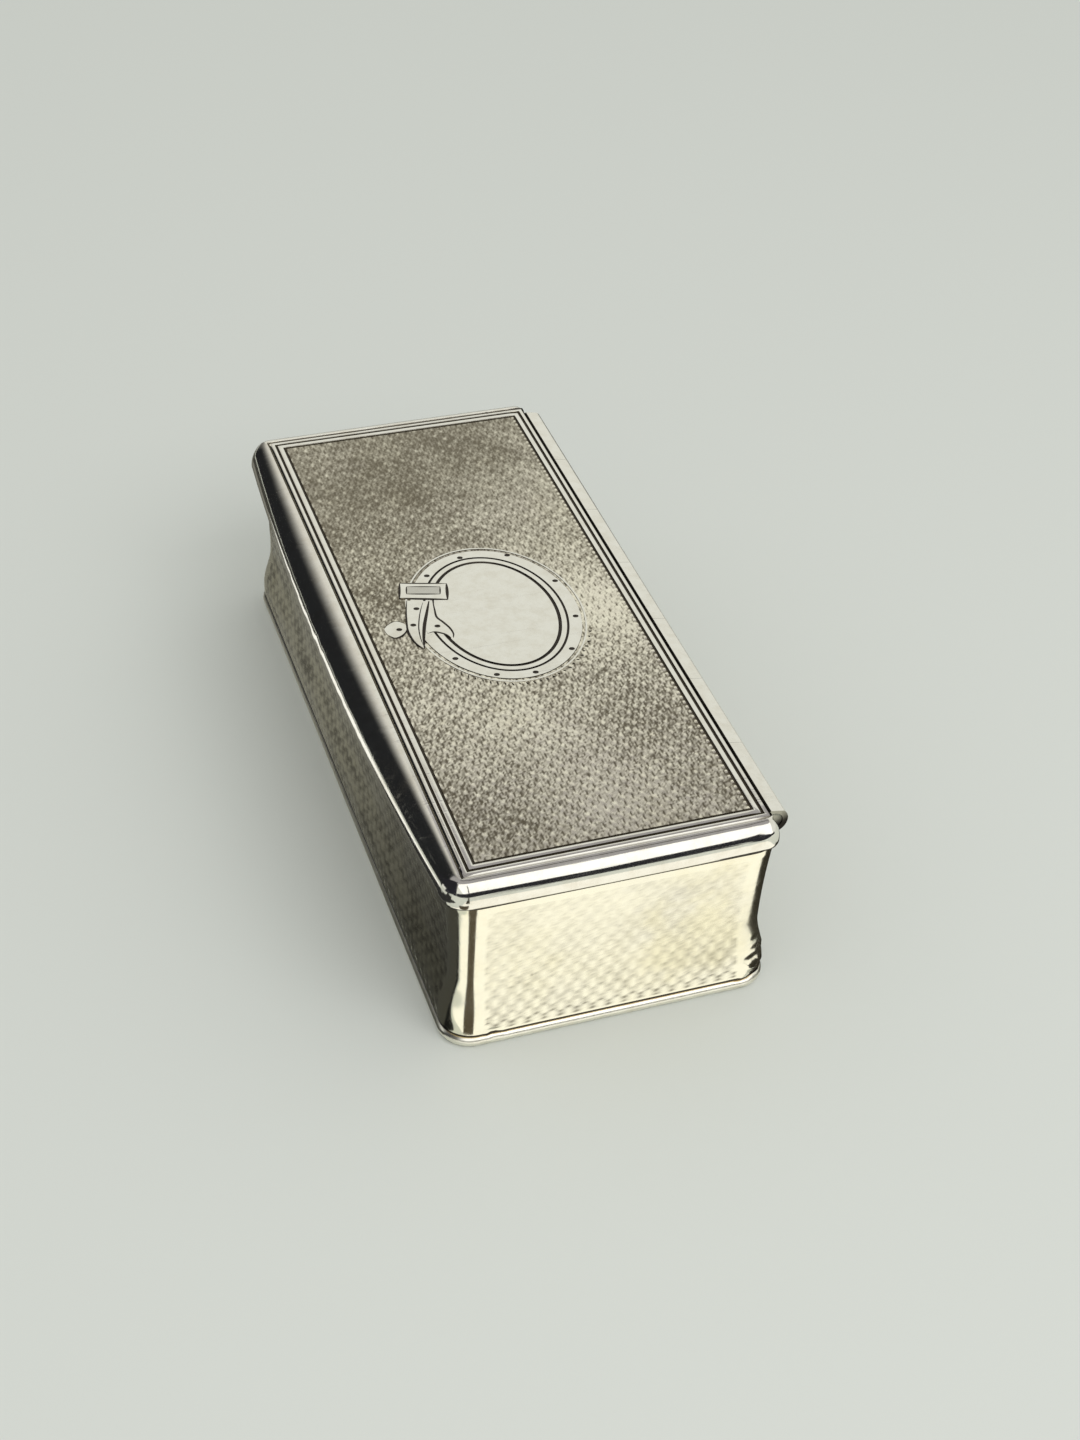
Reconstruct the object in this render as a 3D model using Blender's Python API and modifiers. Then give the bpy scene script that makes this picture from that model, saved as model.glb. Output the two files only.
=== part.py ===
"""Silver table snuff box with an integral hinge.

The box lies with its length along Y and its hinge on the +X side.
The body is a four-sided incurved wall that stands on a rounded base rim. The lid is a flat plate
with engraved border lines in a frame of rounded mouldings, and the front one swells as a thumb lift.
The hinge is a barrel of seven knuckles that lies in a channel along the back edge of lid and body.
Sizes are in metres and Z is up. The origin is on the table, under the middle of the overall box.
"""

from math import cos, pi, radians, sin, sqrt

import bmesh
import bpy
from mathutils import Matrix, Vector

MM = 0.001

# Overall height and the gaps between neighbours
BOX_HEIGHT = 26.0 * MM
SOLDER_GAP = 0.2 * MM
CLOSING_GAP = 0.2 * MM
RUNNING_GAP = 0.2 * MM
PIN_GAP = 0.1 * MM
CUT_OVERRUN = 1.0 * MM

# The engine-turned panel of the lid, from which every overhang below is measured outwards
PANEL_WIDTH = 33.0 * MM
PANEL_LENGTH = 86.8 * MM

# Body wall: overhangs of its outer face and the heights where they hold
RIM_OVERHANG = 3.2 * MM
WAIST_OVERHANG = 2.65 * MM
FOOT_OVERHANG = 3.75 * MM
RIM_BAND = 1.6 * MM
WAIST_HEIGHT = 9.6 * MM
FOOT_HEIGHT = 3.2 * MM
WALL_THICKNESS = 1.0 * MM

# Base rim and base plate
BASE_OVERHANG = 3.95 * MM
BASE_RIM_HEIGHT = 1.5 * MM
BASE_RIM_WIDTH = 1.4 * MM
BASE_PLATE_THICKNESS = 0.8 * MM
BASE_LINE_INSET = 2.4 * MM
BASE_LINE_SPACING = 1.0 * MM

# Bezel, the inner lip that the lid closes over
BEZEL_THICKNESS = 0.6 * MM
BEZEL_RISE = 2.0 * MM
BEZEL_END_MARGIN = 1.4 * MM

# Lid: depth from its top to the closing seam, its plate and the engraved border lines
LID_DEPTH = 3.4 * MM
PLATE_THICKNESS = 0.7 * MM
LINE_WIDTH = 0.25 * MM
LINE_DEPTH = 0.15 * MM
SECOND_LINE_OFFSET = 1.1 * MM

# Lid mouldings: the end ones have a flat strip inside the rounded nose, the front one has none
MOULDING_FLAT = 0.8 * MM
END_WIDTH = 1.9 * MM
END_SWELL = 0.3 * MM
FRONT_WIDTH = 2.5 * MM
FRONT_SWELL = 1.6 * MM
FRONT_CORNER_RADIUS = 3.3 * MM
NOSE_DROP = 2.0 * MM
NOSE_TUCK = 0.25 * MM

# Hinge barrel, its place and its pieces
BARREL_RADIUS = 1.8 * MM
BARREL_DROP = 0.05 * MM
HINGE_OFFSET = 2.75 * MM
BARREL_END_OVERHANG = 1.0 * MM
PLATE_SETBACK = 0.95 * MM
PIN_RADIUS = 0.6 * MM
PLUG_RADIUS = 1.1 * MM
PLUG_LENGTH = 1.0 * MM
PLUG_DOME = 0.12 * MM
KNUCKLE_CHAMFER = 0.12 * MM
LID_BEARER_WIDTH = 1.4 * MM
BODY_BEARER_WIDTH = 1.6 * MM
BODY_BEARER_HEIGHT = 1.9 * MM
KNUCKLE_COUNT = 7

# Facets
CORNER_SEGMENTS = 7
NOSE_SEGMENTS = 8
TUCK_SEGMENTS = 3
WALL_SEGMENTS = 9
FOOT_SEGMENTS = 8
RIM_SEGMENTS = 8
SWELL_SEGMENTS = 16
MITRE_SEGMENTS = 4
BARREL_SIDES = 32
PIN_SIDES = 16
CREASE_DEGREES = 35

# Places worked out from the sizes above
half_width = PANEL_WIDTH / 2
half_length = PANEL_LENGTH / 2
seam_height = BOX_HEIGHT - LID_DEPTH
wall_top = seam_height - CLOSING_GAP
wall_foot = BASE_RIM_HEIGHT + SOLDER_GAP
base_plate_overhang = BASE_OVERHANG - BASE_RIM_WIDTH - SOLDER_GAP
bezel_overhang = RIM_OVERHANG - WALL_THICKNESS - SOLDER_GAP
moulding_overhang = bezel_overhang + RUNNING_GAP
plate_overhang = moulding_overhang - SOLDER_GAP
plate_underside = BOX_HEIGHT - PLATE_THICKNESS
hinge_x = half_width + HINGE_OFFSET
hinge_z = BOX_HEIGHT - BARREL_DROP - BARREL_RADIUS
channel_radius = BARREL_RADIUS + RUNNING_GAP
barrel_half = half_length + BARREL_END_OVERHANG
channel_half = barrel_half + RUNNING_GAP
bore_radius = PIN_RADIUS + PIN_GAP
plate_right = hinge_x - PLATE_SETBACK
bearer_left = hinge_x - channel_radius - LID_BEARER_WIDTH
bezel_end = bearer_left - BEZEL_END_MARGIN
front_edge_x = -half_width - moulding_overhang
near_edge_y = -half_length - moulding_overhang
hinge_turn_x = plate_right + SOLDER_GAP + 2 * NOSE_TUCK - END_WIDTH + MOULDING_FLAT / 2
front_reach = FRONT_WIDTH + FRONT_SWELL - front_edge_x
hinge_reach = hinge_x + BARREL_RADIUS
middle_x = (hinge_reach - front_reach) / 2

SILVER = (0.74, 0.71, 0.64)
WARM_SILVER = (0.80, 0.77, 0.66)
GILT = (0.80, 0.62, 0.30)
STEEL = (0.55, 0.55, 0.56)


def clear_scene():
    """Remove every object and collection that the file opened with."""
    for scene_object in list(bpy.data.objects):
        bpy.data.objects.remove(scene_object, do_unlink=True)
    for collection in list(bpy.data.collections):
        bpy.data.collections.remove(collection)


def make_collection(name):
    collection = bpy.data.collections.new(name)
    bpy.context.scene.collection.children.link(collection)
    return collection


def make_frame(name, place, parent=None):
    """An empty that carries parts."""
    empty = bpy.data.objects.new(name, None)
    empty.location = place
    empty.parent = parent
    parts.objects.link(empty)
    return empty


def metal(name, colour, roughness):
    """A Principled metal with the colour and roughness of one finish."""
    material = bpy.data.materials.new(name)
    material.use_nodes = True
    shader = material.node_tree.nodes["Principled BSDF"]
    shader.inputs["Base Color"].default_value = (*colour, 1)
    shader.inputs["Roughness"].default_value = roughness
    shader.inputs["Metallic"].default_value = 1
    return material


def place_in_box(name, mesh, group, frame):
    """Link a mesh that is drawn in box coordinates, carried by one of the frames."""
    if frame is lid_frame:
        mesh.transform(Matrix.Translation(-lid_frame.location))
    placed = bpy.data.objects.new(name, mesh)
    placed.parent = frame
    group.objects.link(placed)
    return placed


def add_part(name, mesh, frame, colour, roughness):
    """A named part with its own metal, smooth but for its creases."""
    part = place_in_box(name, mesh, parts, frame)
    part.data.materials.clear()
    part.data.materials.append(metal(name, colour, roughness))
    part.data.shade_smooth()
    part.data.set_sharp_from_angle(angle=radians(CREASE_DEGREES))
    return part


def add_cutter(name, mesh, frame):
    cutter = place_in_box(name, mesh, cutters, frame)
    cutter.hide_render = True
    cutter.display_type = "WIRE"
    return cutter


def cut(part, cutter):
    """Take the cutter's shape out of a part."""
    modifier = part.modifiers.new(cutter.name, "BOOLEAN")
    modifier.operation = "DIFFERENCE"
    modifier.solver = "EXACT"
    modifier.object = cutter


def finished_mesh(work, name):
    """Weld a bmesh, turn its faces outwards and hand it over as a mesh."""
    bmesh.ops.remove_doubles(work, verts=work.verts, dist=SOLDER_GAP / 100)
    bmesh.ops.recalc_face_normals(work, faces=work.faces)
    mesh = bpy.data.meshes.new(name)
    work.to_mesh(mesh)
    work.free()
    return mesh


def outline_curve(name, outlines, closed=True):
    """A 2D curve of straight pieces, with one spline for each outline."""
    curve = bpy.data.curves.new(name, "CURVE")
    curve.dimensions = "2D"
    for outline in outlines:
        spline = curve.splines.new("POLY")
        spline.points.add(len(outline) - 1)
        for point, (x, y) in zip(spline.points, outline):
            point.co = (x, y, 0, 1)
        spline.use_cyclic_u = closed
    holder = bpy.data.objects.new(name, curve)
    bpy.context.scene.collection.objects.link(holder)
    return holder


def curve_to_mesh(holder):
    """The mesh that a curve object shows, in box coordinates. The curve object is removed."""
    bpy.context.view_layer.update()
    evaluated = holder.evaluated_get(bpy.context.evaluated_depsgraph_get())
    mesh = bpy.data.meshes.new_from_object(evaluated)
    mesh.transform(holder.matrix_world)
    work = bmesh.new()
    work.from_mesh(mesh)
    name = holder.name
    bpy.data.objects.remove(holder)
    return finished_mesh(work, name)


def flat_solid(name, outlines, low, high):
    """An outline, with any inner outline as a hole, extruded from one height to another."""
    holder = outline_curve(name, outlines)
    holder.data.fill_mode = "BOTH"
    holder.data.extrude = (high - low) / 2
    holder.location.z = (high + low) / 2
    return curve_to_mesh(holder)


def turned_on_hinge(name, profile, sides, closed=True):
    """A (radius, y) profile turned about the hinge axis."""
    holder = outline_curve(name, [profile], closed)
    holder.data.fill_mode = "NONE"
    screw = holder.modifiers.new("turn", "SCREW")
    screw.axis = "Y"
    screw.steps = sides
    screw.render_steps = sides
    screw.use_merge_vertices = True
    screw.merge_threshold = SOLDER_GAP / 100
    holder.location = (hinge_x, 0, hinge_z)
    return curve_to_mesh(holder)


def loft(name, rings, closed):
    """Skin through a row of rings, back to the first one if closed, or else capped at both ends.

    The first ring is extruded again and again, and each copy is moved out to the next ring.
    """
    work = bmesh.new()
    corners = [work.verts.new(place) for place in rings[0]]
    edges = [work.edges.new((corners[i - 1], corners[i])) for i in range(len(corners))]
    if not closed:
        bmesh.ops.edgeloop_fill(work, edges=edges)
    for ring in rings[1:] + (rings[:1] if closed else []):
        moves = {corner.co.to_tuple(): place for corner, place in zip(corners, ring)}
        made = bmesh.ops.extrude_edge_only(work, edges=edges)["geom"]
        by_place = {}
        for corner in made:
            if isinstance(corner, bmesh.types.BMVert):
                by_place.setdefault(corner.co.to_tuple(), []).append(corner)
        corners = [by_place[corner.co.to_tuple()].pop() for corner in corners]
        edges = [edge for edge in made if isinstance(edge, bmesh.types.BMEdge)]
        for corner in corners:
            corner.co = moves[corner.co.to_tuple()]
    if not closed:
        bmesh.ops.edgeloop_fill(work, edges=edges)
    return finished_mesh(work, name)


def block(name, low, high):
    """A box between two corners."""
    work = bmesh.new()
    bmesh.ops.create_cube(work, size=1)
    bmesh.ops.scale(work, verts=work.verts, vec=Vector(high) - Vector(low))
    bmesh.ops.translate(work, verts=work.verts, vec=(Vector(low) + Vector(high)) / 2)
    return finished_mesh(work, name)


def rod_on_hinge(name, radius, half, sides):
    """A plain cylinder on the hinge axis."""
    work = bmesh.new()
    bmesh.ops.create_cone(
        work, cap_ends=True, segments=sides, radius1=radius, radius2=radius, depth=2 * half
    )
    bmesh.ops.rotate(work, verts=work.verts, matrix=Matrix.Rotation(pi / 2, 3, "X"))
    bmesh.ops.translate(work, verts=work.verts, vec=(hinge_x, 0, hinge_z))
    return finished_mesh(work, name)


def polar(centre, radius, quarters):
    """The plan point at a radius from a centre, in a direction in quarter turns from +X."""
    angle = quarters * pi / 2
    return Vector((centre[0] + radius * cos(angle), centre[1] + radius * sin(angle)))


def arc(centre, radius, start, end):
    """Points of an arc, with both ends, between two directions in quarter turns from +X."""
    return [
        polar(centre, radius, start + (end - start) * step / CORNER_SEGMENTS)
        for step in range(CORNER_SEGMENTS + 1)
    ]


def rounded_outline(overhang):
    """Plan of the body at an overhang from the panel, with its corners rounded about the panel's."""
    near_right = arc((half_width, -half_length), overhang, -1, 0)
    far_right = arc((half_width, half_length), overhang, 0, 1)
    far_left = arc((-half_width, half_length), overhang, 1, 2)
    near_left = arc((-half_width, -half_length), overhang, 2, 3)
    return near_right + far_right + far_left + near_left


def square_outline(overhang):
    x = half_width + overhang
    y = half_length + overhang
    return [(-x, -y), (x, -y), (x, y), (-x, y)]


def ring_at(overhang, height):
    return [(x, y, height) for x, y in rounded_outline(overhang)]


def wall_overhang(height):
    """Outer face of the incurved wall: a straight rim, a long hollow and a rolled foot."""
    hollow_top = wall_top - RIM_BAND
    if height >= hollow_top:
        return RIM_OVERHANG
    if height >= WAIST_HEIGHT:
        rise = (height - WAIST_HEIGHT) / (hollow_top - WAIST_HEIGHT)
        return WAIST_OVERHANG + (RIM_OVERHANG - WAIST_OVERHANG) * rise**2
    roll = min((WAIST_HEIGHT - height) / (WAIST_HEIGHT - FOOT_HEIGHT), 1)
    return WAIST_OVERHANG + (FOOT_OVERHANG - WAIST_OVERHANG) * (1 - cos(roll * pi)) / 2


def body_wall():
    """The four walls in one sheet: rings from the rim down outside and back up inside."""
    hollow_top = wall_top - RIM_BAND
    heights = [wall_top]
    for step in range(WALL_SEGMENTS):
        heights.append(hollow_top + (WAIST_HEIGHT - hollow_top) * step / WALL_SEGMENTS)
    for step in range(FOOT_SEGMENTS + 1):
        heights.append(WAIST_HEIGHT + (FOOT_HEIGHT - WAIST_HEIGHT) * step / FOOT_SEGMENTS)
    heights.append(wall_foot)
    rings = [ring_at(wall_overhang(z), z) for z in heights]
    rings += [ring_at(wall_overhang(z) - WALL_THICKNESS, z) for z in reversed(heights)]
    wall = add_part("body_wall", loft("body_wall", rings, True), box_frame, WARM_SILVER, 0.24)
    cut(wall, channel_cutter)


def base_rim():
    """Half-round wire that the wall stands on, flat where it meets the table."""
    radius = BASE_RIM_HEIGHT / 2
    profile = []
    for step in range(RIM_SEGMENTS + 1):
        turn = (step / RIM_SEGMENTS - 1 / 2) * pi
        profile.append((BASE_OVERHANG - radius + radius * cos(turn), radius + radius * sin(turn)))
    profile.append((BASE_OVERHANG - BASE_RIM_WIDTH, BASE_RIM_HEIGHT))
    profile.append((BASE_OVERHANG - BASE_RIM_WIDTH, 0))
    rings = [ring_at(overhang, height) for overhang, height in profile]
    add_part("base_rim", loft("base_rim", rings, True), box_frame, SILVER, 0.2)


def engraved_line(name, overhang, low, high, frame):
    """Cutter for a fine square line all the way round a flat face."""
    outer = square_outline(overhang + LINE_WIDTH / 2)
    inner = square_outline(overhang - LINE_WIDTH / 2)
    return add_cutter(name, flat_solid(name, [outer, inner], low, high), frame)


def base_plate():
    """Flat sheet that closes the underside, with a double line near its edge."""
    sheet = flat_solid("base_plate", [rounded_outline(base_plate_overhang)], 0, BASE_PLATE_THICKNESS)
    plate = add_part("base_plate", sheet, box_frame, SILVER, 0.22)
    first = base_plate_overhang - BASE_LINE_INSET
    cut(plate, engraved_line("base_line_1", first, -CUT_OVERRUN, LINE_DEPTH, box_frame))
    second = first - BASE_LINE_SPACING
    cut(plate, engraved_line("base_line_2", second, -CUT_OVERRUN, LINE_DEPTH, box_frame))


def inner_bezel():
    """U-shaped lip along the near end, the front and the far end, which keeps the lid tight."""
    sides = []
    for overhang in (bezel_overhang, bezel_overhang - BEZEL_THICKNESS):
        side = [(bezel_end, -half_length - overhang)]
        side += arc((-half_width, -half_length), overhang, 3, 2)
        side += arc((-half_width, half_length), overhang, 2, 1)
        side += [(bezel_end, half_length + overhang)]
        sides.append(side)
    outline = sides[0] + sides[1][::-1]
    strip = flat_solid("inner_bezel", [outline], wall_top - RIM_BAND, wall_top + BEZEL_RISE)
    add_part("inner_bezel", strip, box_frame, GILT, 0.3)


def body_hinge_bearer():
    """Strip inside the back wall, under the body's knuckles."""
    right = half_width + bezel_overhang
    low = (right - BODY_BEARER_WIDTH, -half_length, wall_top - BODY_BEARER_HEIGHT)
    strip = block("body_hinge_bearer", low, (right, half_length, wall_top))
    bearer = add_part("body_hinge_bearer", strip, box_frame, GILT, 0.3)
    cut(bearer, channel_cutter)


def lid_hinge_bearer():
    """Strip under the back edge of the lid plate, hollowed along the lid's knuckles."""
    right = hinge_x - sqrt(channel_radius**2 - (hinge_z - seam_height) ** 2)
    low = (bearer_left, -barrel_half, seam_height)
    strip = block("lid_hinge_bearer", low, (right, barrel_half, plate_underside - SOLDER_GAP))
    bearer = add_part("lid_hinge_bearer", strip, lid_frame, GILT, 0.3)
    cut(bearer, channel_cutter)


def knuckle_profile(low, high, first, last):
    """Half section of a knuckle, with a wider seat for the plug at an outer end of the barrel."""
    seat_radius = PLUG_RADIUS + SOLDER_GAP
    seat_depth = PLUG_LENGTH + SOLDER_GAP
    lip = BARREL_RADIUS - KNUCKLE_CHAMFER
    profile = [(lip, low), (BARREL_RADIUS, low + KNUCKLE_CHAMFER)]
    profile += [(BARREL_RADIUS, high - KNUCKLE_CHAMFER), (lip, high)]
    if last:
        profile += [(seat_radius, high), (seat_radius, high - seat_depth)]
    profile += [(bore_radius, high - seat_depth if last else high)]
    profile += [(bore_radius, low + seat_depth if first else low)]
    if first:
        profile += [(seat_radius, low + seat_depth), (seat_radius, low)]
    return profile


def hinge_barrel():
    """Seven knuckles in a row. The body's and the lid's take turns, with the body's at both ends."""
    pitch = (2 * barrel_half + RUNNING_GAP) / KNUCKLE_COUNT
    for index in range(KNUCKLE_COUNT):
        low = index * pitch - barrel_half
        high = low + pitch - RUNNING_GAP
        profile = knuckle_profile(low, high, index == 0, index == KNUCKLE_COUNT - 1)
        on_body = index % 2 == 0
        name = "%s_knuckle_%d" % ("body" if on_body else "lid", index // 2 + 1)
        knuckle = turned_on_hinge(name, profile, BARREL_SIDES)
        add_part(name, knuckle, box_frame if on_body else lid_frame, SILVER, 0.22)


def hinge_pin():
    """Steel pin through all the knuckles, between the two plugs."""
    half = barrel_half - PLUG_LENGTH - SOLDER_GAP
    rod = rod_on_hinge("hinge_pin", PIN_RADIUS, half, PIN_SIDES)
    add_part("hinge_pin", rod, box_frame, STEEL, 0.35)


def hinge_plugs():
    """Silver plugs with a low dome, which hide the ends of the pin."""
    for name, side in (("hinge_plug_near", -1), ("hinge_plug_far", 1)):
        face = side * barrel_half
        shoulder = side * (barrel_half - PLUG_DOME)
        inner = side * (barrel_half - PLUG_LENGTH)
        profile = [(0, face), (PLUG_RADIUS - PLUG_DOME, face), (PLUG_RADIUS, shoulder)]
        profile += [(PLUG_RADIUS, inner), (0, inner)]
        add_part(name, turned_on_hinge(name, profile, PIN_SIDES, False), box_frame, SILVER, 0.22)


def lid_plate():
    """Flat top sheet with two engraved border lines, hollowed along the hinge barrel."""
    left = -half_width - plate_overhang
    end = half_length + plate_overhang
    outline = [(left, -end), (plate_right, -end), (plate_right, end), (left, end)]
    sheet = flat_solid("lid_plate", [outline], plate_underside, BOX_HEIGHT)
    plate = add_part("lid_plate", sheet, lid_frame, SILVER, 0.3)
    cut(plate, channel_cutter)
    low = BOX_HEIGHT - LINE_DEPTH
    high = BOX_HEIGHT + CUT_OVERRUN
    cut(plate, engraved_line("panel_line", 0, low, high, lid_frame))
    cut(plate, engraved_line("second_line", SECOND_LINE_OFFSET, low, high, lid_frame))


def blended(first, second, share):
    return first + (second - first) * share


def swell(share, amount):
    """Extra width of a bowed moulding, which is nothing at both ends and most in the middle."""
    return amount * (1 - (2 * share - 1) ** 2)


def moulding_section(flat, width, start):
    """Section of a lid moulding as (across, height), from its inner top edge round to its foot.

    The nose is a quarter of an ellipse and tucks in a little at the seam.
    What lies inside the start is left out.
    """
    reach = width - flat
    section = [(0, BOX_HEIGHT)]
    for step in range(NOSE_SEGMENTS + 1):
        turn = step / NOSE_SEGMENTS * pi / 2
        section.append((flat + reach * sin(turn), BOX_HEIGHT - NOSE_DROP * (1 - cos(turn))))
    for step in range(1, TUCK_SEGMENTS + 1):
        share = step / TUCK_SEGMENTS
        height = blended(BOX_HEIGHT - NOSE_DROP, seam_height, share)
        section.append((width - NOSE_TUCK * share**2, height))
    section.append((0, seam_height))
    if start == 0:
        return section
    cut_height = BOX_HEIGHT - NOSE_DROP * (1 - sqrt(1 - ((start - flat) / reach) ** 2))
    return [(max(across, start), min(height, cut_height)) for across, height in section]


def station(inner, outer, flat, start=0, shift=0):
    """A moulding section set up across the frame, from a point of its inner edge to the outer one."""
    inner = Vector(inner)
    across = Vector(outer) - inner
    outwards = across.normalized()
    foot = inner + outwards.orthogonal() * shift
    ring = []
    for distance, height in moulding_section(flat, across.length, start):
        place = foot + outwards * distance
        ring.append((place.x, place.y, height))
    return ring


def front_corner(steps, shift):
    """Stations round the near front corner. The mitre, shifted by half a gap, is in the middle."""
    centre_x = front_edge_x - FRONT_WIDTH + FRONT_CORNER_RADIUS
    centre_y = near_edge_y - END_WIDTH + FRONT_CORNER_RADIUS
    rings = []
    for step in steps:
        share = step / (2 * MITRE_SEGMENTS)
        inner_x = blended(centre_x, front_edge_x, min(2 * share, 1))
        inner_y = blended(near_edge_y, centre_y, max(2 * share - 1, 0))
        outer = polar((centre_x, centre_y), FRONT_CORNER_RADIUS, -1 - share)
        flat = blended(MOULDING_FLAT, 0, share)
        mitre_shift = shift if step == MITRE_SEGMENTS else 0
        rings.append(station((inner_x, inner_y), outer, flat, shift=mitre_shift))
    return rings


def mirrored(rings):
    """The same rings at the far side of the box."""
    return [[(x, -y, z) for x, y, z in ring] for ring in rings]


def end_moulding_rings():
    """Near end moulding, from its mitre with the front to its rounded end beside the barrel."""
    rings = front_corner(range(MITRE_SEGMENTS, -1, -1), SOLDER_GAP / 2)
    start_x = front_edge_x - FRONT_WIDTH + FRONT_CORNER_RADIUS
    for step in range(1, SWELL_SEGMENTS):
        share = step / SWELL_SEGMENTS
        x = blended(start_x, hinge_turn_x, share)
        outer_y = near_edge_y - END_WIDTH - swell(share, END_SWELL)
        rings.append(station((x, near_edge_y), (x, outer_y), MOULDING_FLAT))
    turn = (hinge_turn_x, near_edge_y)
    for outer in arc(turn, END_WIDTH, -1, 0):
        rings.append(station(turn, outer, MOULDING_FLAT))
    start = plate_right + SOLDER_GAP - hinge_turn_x
    for y in (near_edge_y, -channel_half):
        rings.append(station((hinge_turn_x, y), (hinge_turn_x + END_WIDTH, y), MOULDING_FLAT, start))
    return rings


def front_moulding_rings():
    """Front moulding, bowed outwards between its two mitres."""
    near = front_corner(range(MITRE_SEGMENTS, 2 * MITRE_SEGMENTS + 1), -SOLDER_GAP / 2)
    start_y = near_edge_y - END_WIDTH + FRONT_CORNER_RADIUS
    middle = []
    for step in range(1, SWELL_SEGMENTS):
        share = step / SWELL_SEGMENTS
        y = blended(start_y, -start_y, share)
        outer_x = front_edge_x - FRONT_WIDTH - swell(share, FRONT_SWELL)
        middle.append(station((front_edge_x, y), (outer_x, y), 0))
    return near + middle + mirrored(near)[::-1]


def lid_mouldings():
    """Three rounded mouldings, mitred at the front corners, that frame the lid plate."""
    near = end_moulding_rings()
    shapes = (
        ("lid_front_moulding", front_moulding_rings()),
        ("lid_near_moulding", near),
        ("lid_far_moulding", mirrored(near)),
    )
    for name, rings in shapes:
        add_part(name, loft(name, rings, False), lid_frame, SILVER, 0.2)


clear_scene()
parts = make_collection("snuff_box")
cutters = make_collection("cutters")
box_frame = make_frame("box_frame", (-middle_x, 0, 0))
lid_frame = make_frame("lid_hinge_frame", (hinge_x, 0, hinge_z), box_frame)
channel = rod_on_hinge("hinge_channel", channel_radius, channel_half, BARREL_SIDES)
channel_cutter = add_cutter("hinge_channel", channel, box_frame)

body_wall()
base_rim()
base_plate()
inner_bezel()
body_hinge_bearer()
hinge_barrel()
hinge_pin()
hinge_plugs()
lid_plate()
lid_mouldings()
lid_hinge_bearer()
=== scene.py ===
# %% [markdown]
# # A silver snuff box in Blender
#
# The object is a table snuff box: incurved sides on a base rim, an engine-turned lid in rounded
# mouldings, a garter ornament round an empty oval, and a hinge that lies in the back edge.
# Its solids come packed from the CAD step as a fixed frame. This lesson gives each of them the
# surface of the real box. Every piece is made in millimetres, in "box coordinates": X across
# towards the hinge, Y along the length, Z up from the table, with the middle of the lid's panel
# over the origin. A piece is scaled to metres only when it is finished.

import bpy
import bmesh
import random
from math import cos, hypot, pi, radians, sin, sqrt
from mathutils import Matrix, Vector, noise


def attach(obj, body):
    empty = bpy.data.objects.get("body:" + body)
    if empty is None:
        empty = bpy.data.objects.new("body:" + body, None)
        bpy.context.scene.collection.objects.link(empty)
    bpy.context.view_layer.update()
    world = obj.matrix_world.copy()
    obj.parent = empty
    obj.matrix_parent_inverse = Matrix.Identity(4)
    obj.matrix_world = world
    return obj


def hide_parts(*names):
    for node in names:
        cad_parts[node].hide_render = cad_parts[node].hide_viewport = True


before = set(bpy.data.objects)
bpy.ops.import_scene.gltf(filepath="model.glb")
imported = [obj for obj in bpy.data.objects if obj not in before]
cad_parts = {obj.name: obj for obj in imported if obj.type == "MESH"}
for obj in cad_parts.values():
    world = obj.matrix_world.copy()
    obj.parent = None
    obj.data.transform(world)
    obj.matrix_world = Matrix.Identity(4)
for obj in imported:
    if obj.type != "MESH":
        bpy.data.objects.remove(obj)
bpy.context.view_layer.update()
print("CAD nodes:", len(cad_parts))

# %% [markdown]
# ## The box's own sizes
#
# These are the sizes of the CAD part, in millimetres, apart from the land and the groove of the
# hinge barrel, where this lesson files it down. An "overhang" is the distance outwards from the
# edge of the engraved panel on the lid. All the outlines of the box start at that panel: each of
# them is the panel's rectangle, grown by its overhang.

# %% Sizes
MM = 0.001
BOX_SHIFT = 0.875
HALF_WIDTH = 16.5
HALF_LENGTH = 43.4
LID_TOP = 26.0
SEAM = 22.6
WALL_TOP = 22.4
WALL_FOOT = 1.7
HINGE_X = 19.25
HINGE_Z = 24.15
BARREL_RADIUS = 1.8
BARREL_HALF = 44.4
BARREL_LAND = 25.80
BARREL_GROOVE = 18.72
CHANNEL_RADIUS = 2.0

# %% [markdown]
# ## From a bmesh to a piece of the box
#
# Each piece is a bmesh until it is ready. One helper then does what all pieces need: it merges
# doubled corners, turns the faces outwards, scales the mesh to metres, shades it smooth except at
# its creases, hangs it on the body that it rides on and hides the CAD solids that it stands for.

# %% Finish a piece
def new_object(name, data):
    made = bpy.data.objects.new(name, data)
    bpy.context.scene.collection.objects.link(made)
    return made


def mesh_object(name, bm, materials):
    mesh = bpy.data.meshes.new(name)
    bm.to_mesh(mesh)
    bm.free()
    for material in materials:
        mesh.materials.append(material)
    return new_object(name, mesh)


def finish_piece(name, bm, materials, body, nodes=(), crease=35):
    bmesh.ops.remove_doubles(bm, verts=bm.verts, dist=0.001)
    bmesh.ops.recalc_face_normals(bm, faces=bm.faces)
    bmesh.ops.translate(bm, verts=bm.verts, vec=(BOX_SHIFT, 0, 0))
    bmesh.ops.scale(bm, verts=bm.verts, vec=(MM, MM, MM))
    flat = sum(not face.smooth for face in bm.faces)
    piece = mesh_object(name, bm, materials)
    piece.data.set_sharp_from_angle(angle=radians(crease))
    if nodes:
        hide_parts(*nodes)
    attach(piece, body)
    print("%s: %d faces, %d of them flat" % (name, len(piece.data.polygons), flat))


def smooth_all(bm, smooth=True):
    for face in bm.faces:
        face.smooth = smooth


def paint(faces, material_number, smooth=True):
    for face in faces:
        face.material_index = material_number
        face.smooth = smooth


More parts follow.
